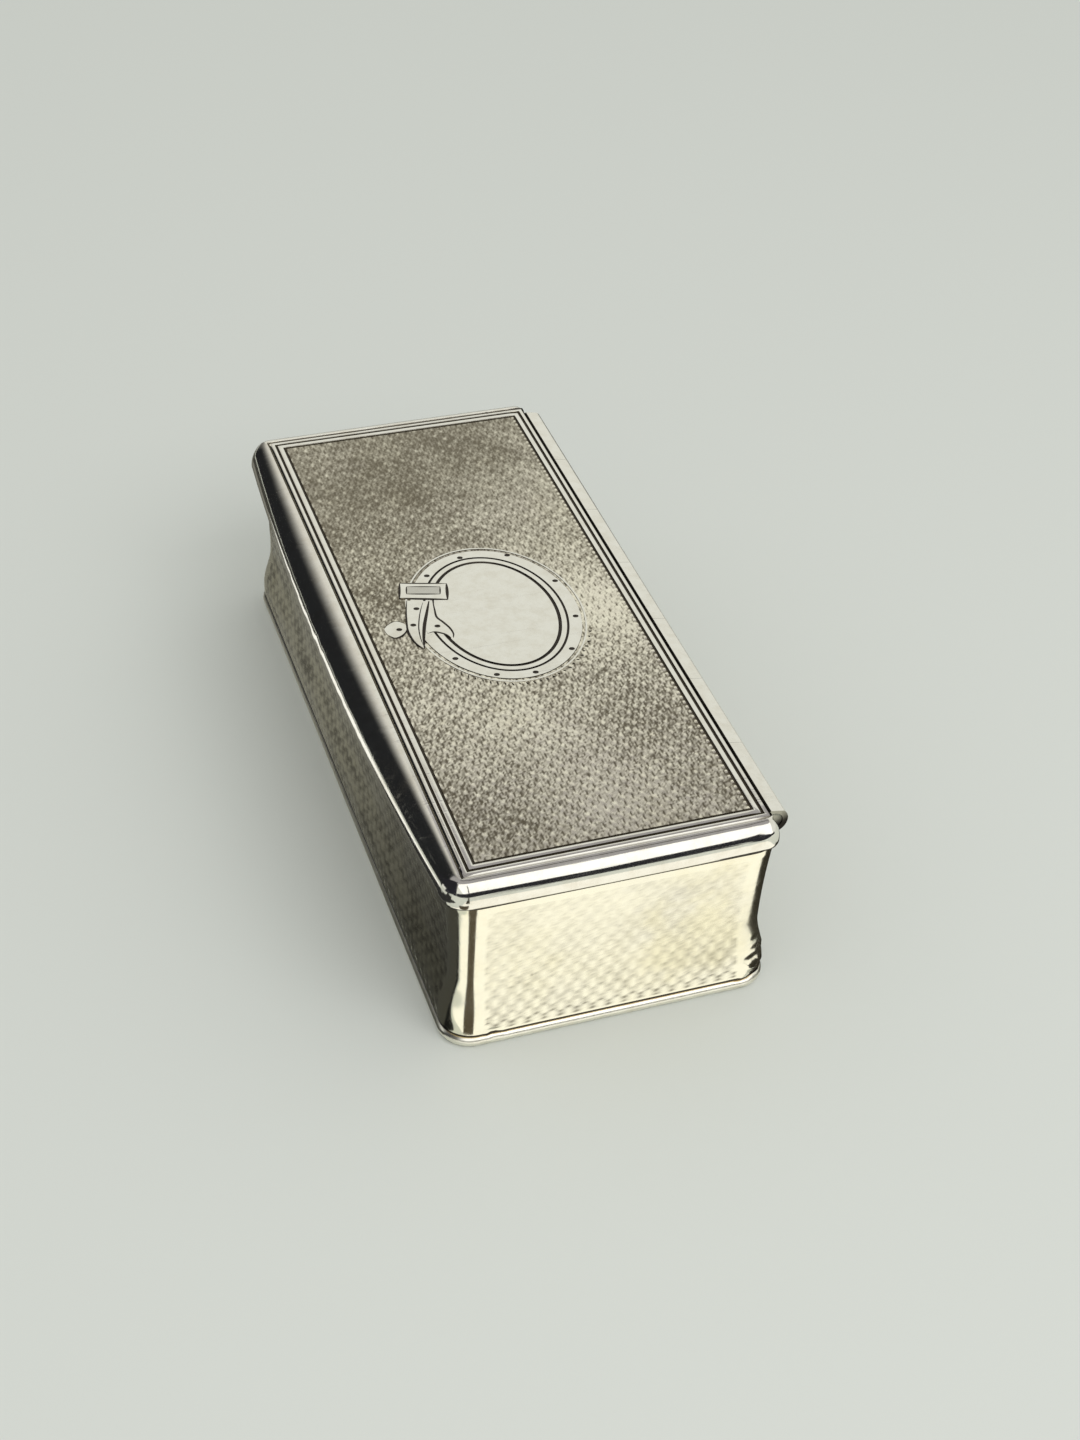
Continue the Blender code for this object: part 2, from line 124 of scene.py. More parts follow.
# %% [markdown]
# ## Rings
#
# Sheet silver is raised, bent and soldered in bands, so most of this box is rows of rings. The
# operator for that is extrude_edge_only: it copies a ring of edges and joins the copy to it with
# faces. The copy is then moved to its own overhang and height. On a rounded ring every corner
# moves away from the nearest point of the panel's rectangle. On a square ring it moves away from
# the panel's sides, so that the ring keeps its mitred corners.

# %% Ring helpers
def clamp(value, low, high):
    return max(low, min(high, value))


def nearest_edge(vert):
    """The nearest point of the panel's rectangle, and the direction from there to the corner."""
    x = clamp(vert.co.x, -HALF_WIDTH, HALF_WIDTH)
    base = Vector((x, clamp(vert.co.y, -HALF_LENGTH, HALF_LENGTH)))
    return base, (vert.co.xy - base).normalized()


def set_rounded(verts, overhang, height):
    for vert in verts:
        base, away = nearest_edge(vert)
        vert.co = (*(base + away * overhang), height)


def set_square(verts, overhang, height, right_limit=1e9):
    for vert in verts:
        x, y = vert.co.xy
        if abs(x) > HALF_WIDTH - 0.01:
            x = (HALF_WIDTH + overhang) * (1 if x > 0 else -1)
        if abs(y) > HALF_LENGTH - 0.01:
            y = (HALF_LENGTH + overhang) * (1 if y > 0 else -1)
        vert.co = (min(x, right_limit), y, height)


def only(geometry, kind):
    return [item for item in geometry if isinstance(item, kind)]


def extrude_ring(bm, edges):
    made = bmesh.ops.extrude_edge_only(bm, edges=edges)["geom"]
    return [only(made, kind) for kind in (bmesh.types.BMVert, bmesh.types.BMEdge, bmesh.types.BMFace)]


def round_corners(bm, verts, radius, segments):
    bmesh.ops.bevel(
        bm, geom=verts, offset=radius, offset_type="OFFSET", segments=segments, profile=0.5,
        affect="VERTICES", material=-1,
    )


def rounded_ring(bm, overhang, height, corner_segments, along_x=1, along_y=1):
    """One rounded outline of the box: a square, its corners bevelled, its sides subdivided."""
    made = bmesh.ops.create_grid(bm, x_segments=1, y_segments=1, size=1)["verts"]
    reach = Vector((HALF_WIDTH + overhang, HALF_LENGTH + overhang, 1))
    bmesh.ops.scale(bm, verts=made, vec=reach)
    round_corners(bm, made, overhang, corner_segments)
    bmesh.ops.delete(bm, geom=list(bm.faces), context="FACES_ONLY")
    for axis, cuts in ((0, along_x), (1, along_y)):
        long_edges = [
            edge for edge in bm.edges
            if abs(edge.verts[0].co[axis] - edge.verts[1].co[axis]) > HALF_WIDTH
        ]
        bmesh.ops.subdivide_edges(bm, edges=long_edges, cuts=cuts - 1)
    set_rounded(bm.verts, overhang, height)
    return list(bm.edges)


# %% [markdown]
# ## Shared finishes: node groups
#
# Old silver is never one colour. Three effects make it look used, and every metal on the box needs
# them in its own strength, so each is a shader node group that is built once. "tarnish" gives
# cloudy patches where the metal has darkened. "scratches" gives the hair lines of two hundred
# years of wiping. "pits" gives small dark pocks. A group puts out masks and heights only. The
# material decides what colour or bump they become.

# %% Node helpers
def add_node(tree, kind, values=(), **settings):
    """A new node. A value is set on its input, or linked to it if it is another node's output."""
    node = tree.nodes.new(kind)
    for name, value in settings.items():
        setattr(node, name, value)
    for name, value in dict(values).items():
        if isinstance(value, bpy.types.NodeSocket):
            tree.links.new(value, node.inputs[name])
        else:
            node.inputs[name].default_value = value
    return node


def new_group(name, inputs, outputs):
    """A group that takes a Vector and the numbers in inputs, with the sockets at its two ends."""
    tree = bpy.data.node_groups.new(name, "ShaderNodeTree")
    tree.interface.new_socket("Vector", in_out="INPUT", socket_type="NodeSocketVector")
    for label, value in inputs.items():
        socket = tree.interface.new_socket(label, in_out="INPUT", socket_type="NodeSocketFloat")
        socket.default_value = value
    for label in outputs:
        tree.interface.new_socket(label, in_out="OUTPUT", socket_type="NodeSocketFloat")
    return tree, tree.nodes.new("NodeGroupInput").outputs, tree.nodes.new("NodeGroupOutput").inputs


def between(tree, source, low, high, to_low=0.0, to_high=1.0):
    """A value spread from one range to another, with soft ends."""
    values = {"Value": source, "From Min": low, "From Max": high, "To Min": to_low, "To Max": to_high}
    return add_node(tree, "ShaderNodeMapRange", values, interpolation_type="SMOOTHSTEP").outputs["Result"]


def calculate(tree, operation, first, second):
    return add_node(tree, "ShaderNodeMath", {0: first, 1: second}, operation=operation).outputs[0]


def cloudy(tree, place, scale, detail, roughness=0.5, **others):
    """The value of a noise texture, which is a 4D one if it is given a W."""
    values = {"Vector": place, "Scale": scale, "Detail": detail, "Roughness": roughness, **others}
    dimensions = "4D" if "W" in others else "3D"
    return add_node(tree, "ShaderNodeTexNoise", values, noise_dimensions=dimensions).outputs["Fac"]


# %% The tarnish group
def build_tarnish():
    tree, start, end = new_group("tarnish", {"Scale": 60.0, "Spread": 0.5}, ["Cloud", "Fine", "Hue"])
    place, scale = start["Vector"], start["Scale"]
    cloud = cloudy(tree, place, scale, 7.0, 0.68, Distortion=0.1)
    low = calculate(tree, "SUBTRACT", 0.72, calculate(tree, "MULTIPLY", start["Spread"], 0.45))
    tree.links.new(between(tree, cloud, low, calculate(tree, "ADD", low, 0.22)), end["Cloud"])
    fine = cloudy(tree, place, calculate(tree, "MULTIPLY", scale, 9.0), 4.0, 0.7)
    tree.links.new(fine, end["Fine"])
    hue = cloudy(tree, place, calculate(tree, "MULTIPLY", scale, 1.7), 3.0, 0.6, W=4.0)
    tree.links.new(between(tree, hue, 0.40, 0.62), end["Hue"])
    return tree


# %% The scratches group
def build_scratches():
    tree, start, end = new_group("scratches", {"Scale": 400.0}, ["Height"])
    scale = calculate(tree, "MULTIPLY", start["Scale"], 0.1)
    total = 0.0
    for turn, stretch in ((0.35, 30.0), (-0.9, 22.0), (1.45, 26.0)):
        values = {"Vector": start["Vector"], "Rotation": (0, 0, turn), "Scale": (1, stretch, stretch)}
        lay = add_node(tree, "ShaderNodeMapping", values).outputs["Vector"]
        hair = between(tree, cloudy(tree, lay, scale, 2.0), 0.62, 0.72)
        total = calculate(tree, "MAXIMUM", total, hair)
    tree.links.new(total, end["Height"])
    return tree


# %% The pits group
def build_pits():
    tree, start, end = new_group("pits", {"Scale": 500.0, "Size": 0.1}, ["Mask"])
    place, scale = start["Vector"], start["Scale"]
    cells = add_node(tree, "ShaderNodeTexVoronoi", {"Vector": place, "Scale": scale}, feature="F1")
    near = between(tree, cells.outputs["Distance"], 0.0, start["Size"], 1.0, 0.0)
    chosen = between(tree, cloudy(tree, place, calculate(tree, "MULTIPLY", scale, 0.35), 1.0), 0.6, 0.68)
    tree.links.new(calculate(tree, "MULTIPLY", near, chosen), end["Mask"])
    return tree


tarnish_group, scratches_group, pits_group = build_tarnish(), build_scratches(), build_pits()
print("node groups:", [group.name for group in bpy.data.node_groups])

# %% [markdown]
# ## Silver
#
# All the silver shares one recipe. Clean metal is a light warm grey. The tarnish mask mixes in a
# browner colour and makes the metal a little duller, and the scratches and a slow waviness of hand
# work go into a bump. Engraved cuts hold dirt, so a piece may carry a "cut" attribute that is 1 in
# a cut and 0 on the surface, and the recipe darkens it. The recipe could be one big texture, but
# as values of Object coordinates it fits every piece without any unwrapping.

# %% The silver recipe
SCRATCH_SCALE = 400.0
WAVE_SCALE = 90.0
PIT_SCALE = 260.0
PIT_SIZE = 0.09
PIT_DEPTH = 0.03


def place_group(tree, group, coordinates, **values):
    return add_node(tree, "ShaderNodeGroup", {"Vector": coordinates, **values}, node_tree=group).outputs


def mix_colour(tree, factor, first, second):
    node = add_node(tree, "ShaderNodeMix", {"Factor": factor}, data_type="RGBA")
    sockets = [socket for socket in node.inputs if socket.type == "RGBA"]
    for socket, value in zip(sockets, (first, second)):
        if isinstance(value, tuple):
            socket.default_value = (*value, 1)
        else:
            tree.links.new(value, socket)
    return [socket for socket in node.outputs if socket.type == "RGBA"][0]


def silver(
    name, clean, dull, cut=(0.10, 0.085, 0.06), rough=(0.12, 0.3), tarnish_scale=60.0, spread=0.5,
    tarnish_strength=0.6, scratch_depth=0.003, wave_depth=0.02, cut_strength=0.9, cut_from=0.0,
    other_dull=None,
):
    material = bpy.data.materials.new(name)
    material.use_nodes = True
    tree = material.node_tree
    shader = tree.nodes["Principled BSDF"].inputs
    shader["Metallic"].default_value = 1.0
    place = add_node(tree, "ShaderNodeTexCoord").outputs["Object"]
    tarnish = place_group(tree, tarnish_group, place, Scale=tarnish_scale, Spread=spread)
    scratch = place_group(tree, scratches_group, place, Scale=SCRATCH_SCALE)["Height"]
    pits = place_group(tree, pits_group, place, Scale=PIT_SCALE, Size=PIT_SIZE)["Mask"]

    cloud = calculate(tree, "MULTIPLY", tarnish["Cloud"], tarnish_strength)
    mottle = between(tree, tarnish["Fine"], 0.35, 0.75, 0.0, 0.35)
    if other_dull:
        dull = mix_colour(tree, tarnish["Hue"], dull, other_dull)
    colour = mix_colour(tree, calculate(tree, "MAXIMUM", cloud, mottle), clean, dull)
    colour = mix_colour(tree, calculate(tree, "MULTIPLY", pits, 0.7), colour, cut)
    depth = add_node(tree, "ShaderNodeAttribute", attribute_name="cut").outputs["Fac"]
    dirt = between(tree, depth, cut_from, 1.0, 0.0, cut_strength)
    tree.links.new(mix_colour(tree, dirt, colour, cut), shader["Base Color"])

    dull_parts = calculate(tree, "MAXIMUM", cloud, calculate(tree, "MULTIPLY", depth, 0.8))
    roughness = between(tree, dull_parts, 0.0, 1.0, *rough)
    roughness = calculate(tree, "ADD", roughness, calculate(tree, "MULTIPLY", scratch, 0.06))
    tree.links.new(roughness, shader["Roughness"])

    height = calculate(tree, "MULTIPLY", cloudy(tree, place, WAVE_SCALE, 2.0, 0.4), wave_depth * MM)
    for mask, mask_depth in ((scratch, scratch_depth), (pits, PIT_DEPTH)):
        height = calculate(tree, "SUBTRACT", height, calculate(tree, "MULTIPLY", mask, mask_depth * MM))
    bump = add_node(tree, "ShaderNodeBump", {"Height": height, "Distance": 1.0, "Strength": 1.0})
    tree.links.new(bump.outputs["Normal"], shader["Normal"])
    return material


# %% The box's metals
polished_silver = silver("polished_silver", (0.91, 0.89, 0.80), (0.66, 0.60, 0.47), rough=(0.10, 0.24))
rim_silver = silver("worn_rim_silver", (0.95, 0.93, 0.82), (0.70, 0.65, 0.50), rough=(0.30, 0.45))
lid_silver = silver(
    "turned_lid_silver", (1.0, 0.95, 0.77), (0.66, 0.59, 0.42), cut=(0.15, 0.125, 0.08), rough=(0.16, 0.34),
    tarnish_scale=55.0, spread=0.50, tarnish_strength=0.38, cut_strength=0.95, cut_from=0.28,
    other_dull=(0.64, 0.56, 0.50), scratch_depth=0.0,
)
body_silver = silver(
    "turned_body_silver", (0.97, 0.94, 0.77), (0.84, 0.79, 0.55), rough=(0.14, 0.30),
    tarnish_scale=60.0, spread=0.6, cut_strength=0.75, other_dull=(0.84, 0.82, 0.72),
)
# Dark oxidised silver for the engraved lines and eyelets. It is also painted shade in the seam and in the
# groove beside the hinge.
line_and_shade_silver = silver(
    "oxidised_lines_and_painted_shade", (0.06, 0.05, 0.04), (0.03, 0.026, 0.02), rough=(0.4, 0.6), scratch_depth=0.0,
)
gilding = silver(
    "soft_gilding", (0.86, 0.66, 0.33), (0.68, 0.48, 0.23), cut=(0.2, 0.12, 0.05), rough=(0.30, 0.46),
    tarnish_scale=80.0, spread=0.6, tarnish_strength=0.7, wave_depth=0.04, scratch_depth=0.006,
)
# Nearly black silver for the knuckles' joints, and painted shade in the groove beside the lid's plate.
dull_joint_and_shade_silver = silver(
    "dull_joint_and_shade_silver", (0.11, 0.10, 0.075), (0.06, 0.05, 0.035), rough=(0.22, 0.4),
    tarnish_scale=200.0, spread=0.6,
)
barrel_end_silver = silver(
    "dark_barrel_end", (0.36, 0.36, 0.30), (0.26, 0.25, 0.20), cut=(0.02, 0.018, 0.014), rough=(0.22, 0.4),
    tarnish_scale=200.0, spread=0.6, cut_strength=1.0,
)
steel = silver("drawn_steel", (0.56, 0.56, 0.57), (0.30, 0.27, 0.24), rough=(0.25, 0.45))
print("metals:", [material.name for material in bpy.data.materials if material.use_nodes])

# %% [markdown]
# ## The lid's plate
#
# The flat top is one sheet. In its middle is the engine-turned panel. A lathe with cams has cut
# wavy lines side by side, and after every third line the wave has changed sides. That pattern is
# called barleycorn: bright grains, staggered like bricks, with dark hollows between them. Bump
# alone could show that, but real facets catch the light in the way that cut silver does. So every
# corner of a fine grid is lifted by the wave, and the faces stay flat. The grid's last column, on
# the hinge side, is a row of small beads. The border is two engraved lines with plain reeds
# between them, which is a row of square rings extruded outwards from the grid's own edge.

# %% The engine-turned panel
GRAIN_LENGTH = 1.9
GRAIN_WIDTH = 2.45
GRAIN_HEIGHT = 0.026
# Columns and rows of faces in one wave
GRAIN_COLUMNS = 12
GRAIN_ROWS = 8
COLUMNS = round(2 * HALF_WIDTH / GRAIN_WIDTH * GRAIN_COLUMNS)
ROWS = round(2 * HALF_LENGTH / GRAIN_LENGTH * GRAIN_ROWS)
BEAD_ROW_WIDTH = 0.3
PANEL_LEVEL = 25.95
SUNK_LEVEL = PANEL_LEVEL - 0.12
OVAL_CENTRE = Vector((-0.1, -0.15))
STRAP_OUTER = Vector((10.76, 13.84))
STRAP_LAP = 0.3
EULER = 2.7182
# Places of the lid's materials in its list, of which the wall has the first three
# The third is for the engraved lines. It is also painted shade in the seam and in the groove beside the
# hinge.
TURNED, GILT, LINES_AND_SHADE, PLAIN = range(4)


def barleycorn(across, along):
    """The turning, from -1 in a hollow to 1 on a grain. Both places are counted in whole waves."""
    turn = 2 * pi * across
    return (cos(turn) + 1.5 * cos(3 * turn) + 0.6 * cos(5 * turn)) / 3.1 * cos(2 * pi * along)


def under_ornament(x, y):
    """Whether the place is hidden under the oval of the garter ornament."""
    dx, dy = x - OVAL_CENTRE.x, y - OVAL_CENTRE.y
    return hypot(dx / (STRAP_OUTER.x - STRAP_LAP), dy / (STRAP_OUTER.y - STRAP_LAP)) < 1


# Places where the lid is rubbed bright (or, below zero, keeps its patina): x, y, reach, amount
rubbed = [
    (2.0, -38.0, 9.0, 0.40), (13.5, -2.0, 8.0, 0.55), (-4.0, -22.0, 9.0, 0.30), (8.0, 22.0, 9.0, 0.15),
    (-6.0, 30.0, 18.0, -0.42), (-13.0, 6.0, 6.0, -0.30), (11.0, -26.0, 8.0, -0.15),
    (-13.0, -36.0, 7.0, -0.25), (9.0, 40.0, 9.0, -0.25),
]


def rubbing(x, y):
    total = noise.noise(Vector((x * 0.22, y * 0.22, 3.0))) * 0.20
    total += noise.noise(Vector((x * 0.9, y * 0.9, 8.0))) * 0.28
    for centre_x, centre_y, reach, amount in rubbed:
        total += amount * EULER ** (-((x - centre_x) ** 2 + (y - centre_y) ** 2) / reach**2)
    return total


# %% Turn the panel
lid = bmesh.new()
cut_layer = lid.verts.layers.float.new("cut")
chances = random.Random(12)
bmesh.ops.create_grid(lid, x_segments=COLUMNS, y_segments=ROWS, size=1)
bmesh.ops.scale(lid, verts=lid.verts, vec=(HALF_WIDTH, HALF_LENGTH, 1))
for vert in lid.verts:
    x, y = vert.co.xy
    column = round((x + HALF_WIDTH) * COLUMNS / (2 * HALF_WIDTH))
    row = round((y + HALF_LENGTH) * ROWS / (2 * HALF_LENGTH))
    chance = chances.uniform(-1, 1)
    wave = barleycorn(column / GRAIN_COLUMNS, row / GRAIN_ROWS)
    if x > HALF_WIDTH - BEAD_ROW_WIDTH:
        wave = 0.9 if row % 4 < 2 else -0.5
    line = 1 if column % 2 else -1
    vert.co.z = PANEL_LEVEL + GRAIN_HEIGHT * (wave + 0.3 * chance + 0.2 * line)
    if under_ornament(x, y):
        vert.co.z = SUNK_LEVEL
    # Towards the far end the cuts and the grains differ less
    contrast = 1 - 0.60 * clamp((y + 15) / 42, 0, 1)
    dirt = 0.65 - (0.62 * wave - 0.26 * chance + 0.09 * line) * contrast - 0.45 * rubbing(x, y)
    vert[cut_layer] = clamp(dirt, 0, 1)
smooth_all(lid, False)
print("panel grid:", COLUMNS, "by", ROWS, "faces")

# %% The border of reeds and engraved lines
# Each row is (overhang, height, cut)
border = [
    (0.02, 25.84, 1.0), (0.32, 25.84, 1.0), (0.36, 25.99, 0.1), (0.46, 26.01, 0.0), (0.86, 26.01, 0.0),
    (0.97, 25.99, 0.1), (1.00, 25.80, 1.0), (1.30, 25.80, 1.0), (1.33, 25.98, 0.1), (1.42, 26.0, 0.0),
    (1.72, 26.0, 0.0), (1.80, 25.97, 0.1), (2.02, 25.7, 1.0), (2.23, 25.6, 1.0), (2.23, 25.3, 1.0),
]
BEVEL_START = HALF_WIDTH + 1.74
ring = [edge for edge in lid.edges if edge.is_boundary]
for overhang, height, cut_depth in border:
    verts, ring, faces = extrude_ring(lid, ring)
    drop = min(HINGE_Z + CHANNEL_RADIUS - 0.001, height) - HINGE_Z
    channel = HINGE_X - sqrt(CHANNEL_RADIUS**2 - drop**2)
    set_square(verts, overhang, height, right_limit=channel)
    for vert in verts:
        # Beside the hinge the border sinks into a groove. Its faces get the dark line material as painted
        # shade of the groove.
        beside_hinge = vert.co.x > BEVEL_START + 0.02
        vert[cut_layer] = 1.0 if beside_hinge else cut_depth
        if beside_hinge:
            vert.co.z = min(vert.co.z, 25.98 - 0.8 * (vert.co.x - BEVEL_START))
        elif vert.co.x > HALF_WIDTH + 0.3 and cut_depth < 1:
            vert.co.z -= 0.18 * (overhang - (0.36 if overhang < 1 else 1.33))
    for face in faces:
        face.smooth = True
        face.material_index = LINES_AND_SHADE if all(vert[cut_layer] == 1.0 for vert in face.verts) else PLAIN
paint(bmesh.ops.edgeloop_fill(lid, edges=ring)["faces"], GILT, smooth=False)
lid_materials = [lid_silver, gilding, line_and_shade_silver, polished_silver]
finish_piece("engine_turned_lid", lid, lid_materials, "lid", ["lid_plate"])

# %% [markdown]
# ## The garter ornament
#
# The engraver has left a vacant oval, ringed by a buckled strap, which is a common surround on
# presentation pieces. It is line work in flat silver. Drawn as bump it would blur, so it is made
# of real parts. The oval is a plate built outwards in rings, and the narrow rings of oxidised
# silver between them are its lines. The one nearest the middle is not quite concentric, so that it
# swells on one side, as it does where the engraver shaded the strap.

# %% The oval and its strap
ORNAMENT_TOP = 26.0
LINE_LEVEL = 25.9
RING_SIDES = 128

# Each row is (half width, half length, height, material of the band that ends here, shift of centre)
oval_rows = [
    (7.50, 10.80, ORNAMENT_TOP, 0, 0.0), (7.53, 10.84, LINE_LEVEL, 1, -0.10),
    (7.90, 11.20, LINE_LEVEL, 1, 0.10), (7.94, 11.24, ORNAMENT_TOP, 1, 0.0),
    (8.57, 11.88, ORNAMENT_TOP, 0, 0.0), (8.60, 11.91, LINE_LEVEL, 1, 0.0),
    (8.85, 12.18, LINE_LEVEL, 1, 0.0), (8.88, 12.21, ORNAMENT_TOP, 1, 0.0),
    (10.52, 13.60, ORNAMENT_TOP, 0, 0.0), (10.55, 13.63, LINE_LEVEL, 1, 0.0),
    (10.89, 13.99, LINE_LEVEL, 1, 0.0), (10.93, 14.03, ORNAMENT_TOP + 0.01, 1, 0.0),
    (11.15, 14.26, ORNAMENT_TOP + 0.01, 0, 0.0), (11.22, 14.33, 25.8, 0, 0.0),
]
oval = bmesh.new()
bmesh.ops.create_circle(oval, cap_ends=True, segments=RING_SIDES, radius=1)
bmesh.ops.scale(oval, verts=oval.verts, vec=(oval_rows[0][0], oval_rows[0][1], 1))
bmesh.ops.translate(oval, verts=oval.verts, vec=(0, 0, ORNAMENT_TOP))
ring = [edge for edge in oval.edges if edge.is_boundary]
last = oval_rows[0]
for row in oval_rows[1:]:
    verts, ring, faces = extrude_ring(oval, ring)
    shift = Vector((last[4], -last[4], 0))
    bmesh.ops.translate(oval, verts=verts, vec=-shift)
    bmesh.ops.scale(oval, verts=verts, vec=(row[0] / last[0], row[1] / last[1], 1))
    bmesh.ops.translate(oval, verts=verts, vec=(row[4], -row[4], row[2] - last[2]))
    paint(faces, row[3])
    last = row
bmesh.ops.edgeloop_fill(oval, edges=ring)
bmesh.ops.translate(oval, verts=oval.verts, vec=OVAL_CENTRE.to_3d())
smooth_all(oval)
finish_piece("garter_oval", oval, [polished_silver, line_and_shade_silver], "lid", crease=25)

# %% [markdown]
# ## Buckle, tongue and loose end
#
# These are cut out of flat sheet in the model: one face, its corners rounded, drawn up to a
# small thickness. On the real lid they are only drawn. A hair of thickness puts the nearer one in
# front, and the light finds its edge.

# %% Flat shapes
FLAT_FOOT = 25.85
STRAP_LEVEL, TAIL_LEVEL, BUCKLE_LEVEL, SLOT_LEVEL = 26.02, 26.035, 26.055, 26.062


def flat_shape(name, corners, top, round_off=0.0, dirt=0.0):
    bm = bmesh.new()
    cut_layer = bm.verts.layers.float.new("cut")
    base = bm.faces.new([bm.verts.new((x, y, FLAT_FOOT)) for x, y in corners])
    base.normal_update()
    if base.normal.z < 0:
        bmesh.ops.reverse_faces(bm, faces=[base])
    if round_off:
        round_corners(bm, list(bm.verts), round_off, 4)
    raised = bmesh.ops.extrude_face_region(bm, geom=list(bm.faces))["geom"]
    bmesh.ops.translate(bm, verts=only(raised, bmesh.types.BMVert), vec=(0, 0, top - FLAT_FOOT))
    for vert in bm.verts:
        vert[cut_layer] = dirt
    smooth_all(bm, False)
    finish_piece(name, bm, [polished_silver], "lid")


def smooth_path(points, steps, closed=False):
    """A row of points with rounded turns between them, as a Catmull-Rom curve."""
    path = []
    count = len(points)
    for i in range(count if closed else count - 1):
        places = [(i + k - 1) % count if closed else clamp(i + k - 1, 0, count - 1) for k in range(4)]
        p0, p1, p2, p3 = (Vector(points[place]) for place in places)
        for step in range(steps):
            t = step / steps
            path.append(0.5 * (2 * p1 + (p2 - p0) * t + (2 * p0 - 5 * p1 + 4 * p2 - p3) * t**2
                               + (3 * p1 - p0 - 3 * p2 + p3) * t**3))
    if not closed:
        path.append(Vector(points[-1]))
    return path


tongue_edge = [
    (-7.11, 4.4), (-7.43, 2.4), (-7.62, 0.85), (-7.14, -0.42), (-6.70, -1.77), (-6.59, -2.96), (-6.85, -3.75),
]
tongue_foot = [(-7.1, -3.75), (-7.47, -2.95), (-8.06, -2.40), (-8.78, -2.0), (-9.64, -2.12)]
tail_edge = [
    (-10.28, 5.1), (-10.91, 3.17), (-11.44, 1.18), (-11.85, -0.82), (-11.83, -2.57), (-11.57, -3.85),
    (-11.0, -4.95),
]
tail_inside = [(-7.61, 4.3), (-8.66, 1.84), (-9.59, -0.38), (-10.34, -2.63), (-10.92, -4.85)]
tab_edge = [
    (-14.55, 0.27), (-14.03, 0.83), (-13.15, 1.29), (-12.54, 1.20), (-12.04, 0.71), (-11.7, -0.11),
    (-12.18, -1.08), (-12.96, -1.74), (-13.86, -1.94), (-14.48, -1.15), (-14.65, -0.23),
]
buckle_corners = [(-10.15, 8.88), (-4.38, 7.32), (-5.20, 4.08), (-11.00, 5.85)]
slot_corners = [(-9.50, 7.98), (-5.37, 6.86), (-5.80, 5.35), (-9.92, 6.47)]

tongue = smooth_path(tongue_edge, 5) + smooth_path(tongue_foot + [(-9.6, 4.4)], 3)
flat_shape("garter_tongue", tongue, STRAP_LEVEL)
flat_shape("garter_loose_end", smooth_path(tab_edge, 3, closed=True), STRAP_LEVEL)
flat_shape("garter_tail", smooth_path(tail_edge, 5) + smooth_path(tail_inside[::-1], 5), TAIL_LEVEL)
flat_shape("garter_buckle", buckle_corners, BUCKLE_LEVEL, round_off=0.2)
flat_shape("garter_buckle_slot", slot_corners, SLOT_LEVEL, round_off=0.3, dirt=0.42)

# %% [markdown]
# ## The graver's lines
#
# A graver is pushed through the metal and lifted out, so its cut starts as a point, swells and
# ends as a point. Each line here is a thin dark ridge with three corners in its section, walked
# along a path by the ring helper and made wider in its middle. It lies so low on the flat shapes
# that only its width and colour are seen. A whole number on each corner of a section says which
# corner it is, and the extrusion hands the number on.


# %% Walk a section along a path
def walk(bm, rings):
    order = bm.verts.layers.int.get("order") or bm.verts.layers.int.new("order")
    verts = [bm.verts.new(place) for place in rings[0]]
    for number, vert in enumerate(verts):
        vert[order] = number
    edges = [bm.edges.new((verts[i - 1], verts[i])) for i in range(len(verts))]
    bmesh.ops.edgeloop_fill(bm, edges=edges)
    for ring in rings[1:]:
        verts, edges, faces = extrude_ring(bm, edges)
        for vert in verts:
            vert.co = ring[vert[order]]
    bmesh.ops.edgeloop_fill(bm, edges=edges)


LEAST_SHARE = 0.35


def graver_line(bm, points, width, level):
    if len(points) > 2:
        path = smooth_path(points, 5)
    else:
        path = [Vector(points[0]).lerp(Vector(points[1]), step / 6) for step in range(7)]
    rings = []
    for number, place in enumerate(path):
        along = (path[min(number + 1, len(path) - 1)] - path[max(number - 1, 0)]).normalized()
        half = width / 2 * max(LEAST_SHARE, sin(pi * number / (len(path) - 1)) ** 0.5)
        side = Vector((-along.y, along.x)) * half
        rings.append([
            (*(place + side), level - 0.003), (*place, level + 0.012), (*(place - side), level - 0.003),
        ])
    walk(bm, rings)


# %% The lines of the ornament
shading = [(-8.44, 4.2), (-9.45, 2.06), (-10.36, -0.53), (-10.75, -2.51), (-10.89, -4.21)]
lines = [
    (tongue_edge, 0.34, STRAP_LEVEL), (tongue_foot, 0.26, STRAP_LEVEL), (tail_edge, 0.28, TAIL_LEVEL),
    (tail_inside, 0.50, TAIL_LEVEL), (shading, 0.20, TAIL_LEVEL),
]
frames = [
    (buckle_corners, BUCKLE_LEVEL, (0.28, 0.46, 0.30, 0.34)),
    (slot_corners, SLOT_LEVEL, (0.22, 0.22, 0.26, 0.22)),
]
for corners, level, widths in frames:
    for number, width in enumerate(widths):
        lines.append(([corners[number], corners[(number + 1) % 4]], width, level))
lines += [(tab_edge[5:10], 0.20, STRAP_LEVEL), (tab_edge[:5], 0.12, STRAP_LEVEL)]
for step in range(26):
    turn = radians(222 + 4.4 * step)
    rim = Vector((cos(turn) * 11.35, sin(turn) * 14.45)) + OVAL_CENTRE
    stroke = Vector((cos(turn + 0.5), sin(turn + 0.5))) * (0.34 + 0.1 * (step % 3))
    lines.append(([rim, rim + stroke], 0.14, ORNAMENT_TOP))
cuts = bmesh.new()
for points, width, level in lines:
    graver_line(cuts, points, width, level)
smooth_all(cuts, False)
finish_piece("graver_lines", cuts, [line_and_shade_silver], "lid")

# %% [markdown]
# ## Eyelets
#
# The strap has a row of eyelets. On the box each is a single punched dot. A dot is a shallow cup
# in oxidised silver: an ellipse, three quarters of a millimetre wide, its face inset and pushed
# down. There are few of them, so all are made in one mesh.

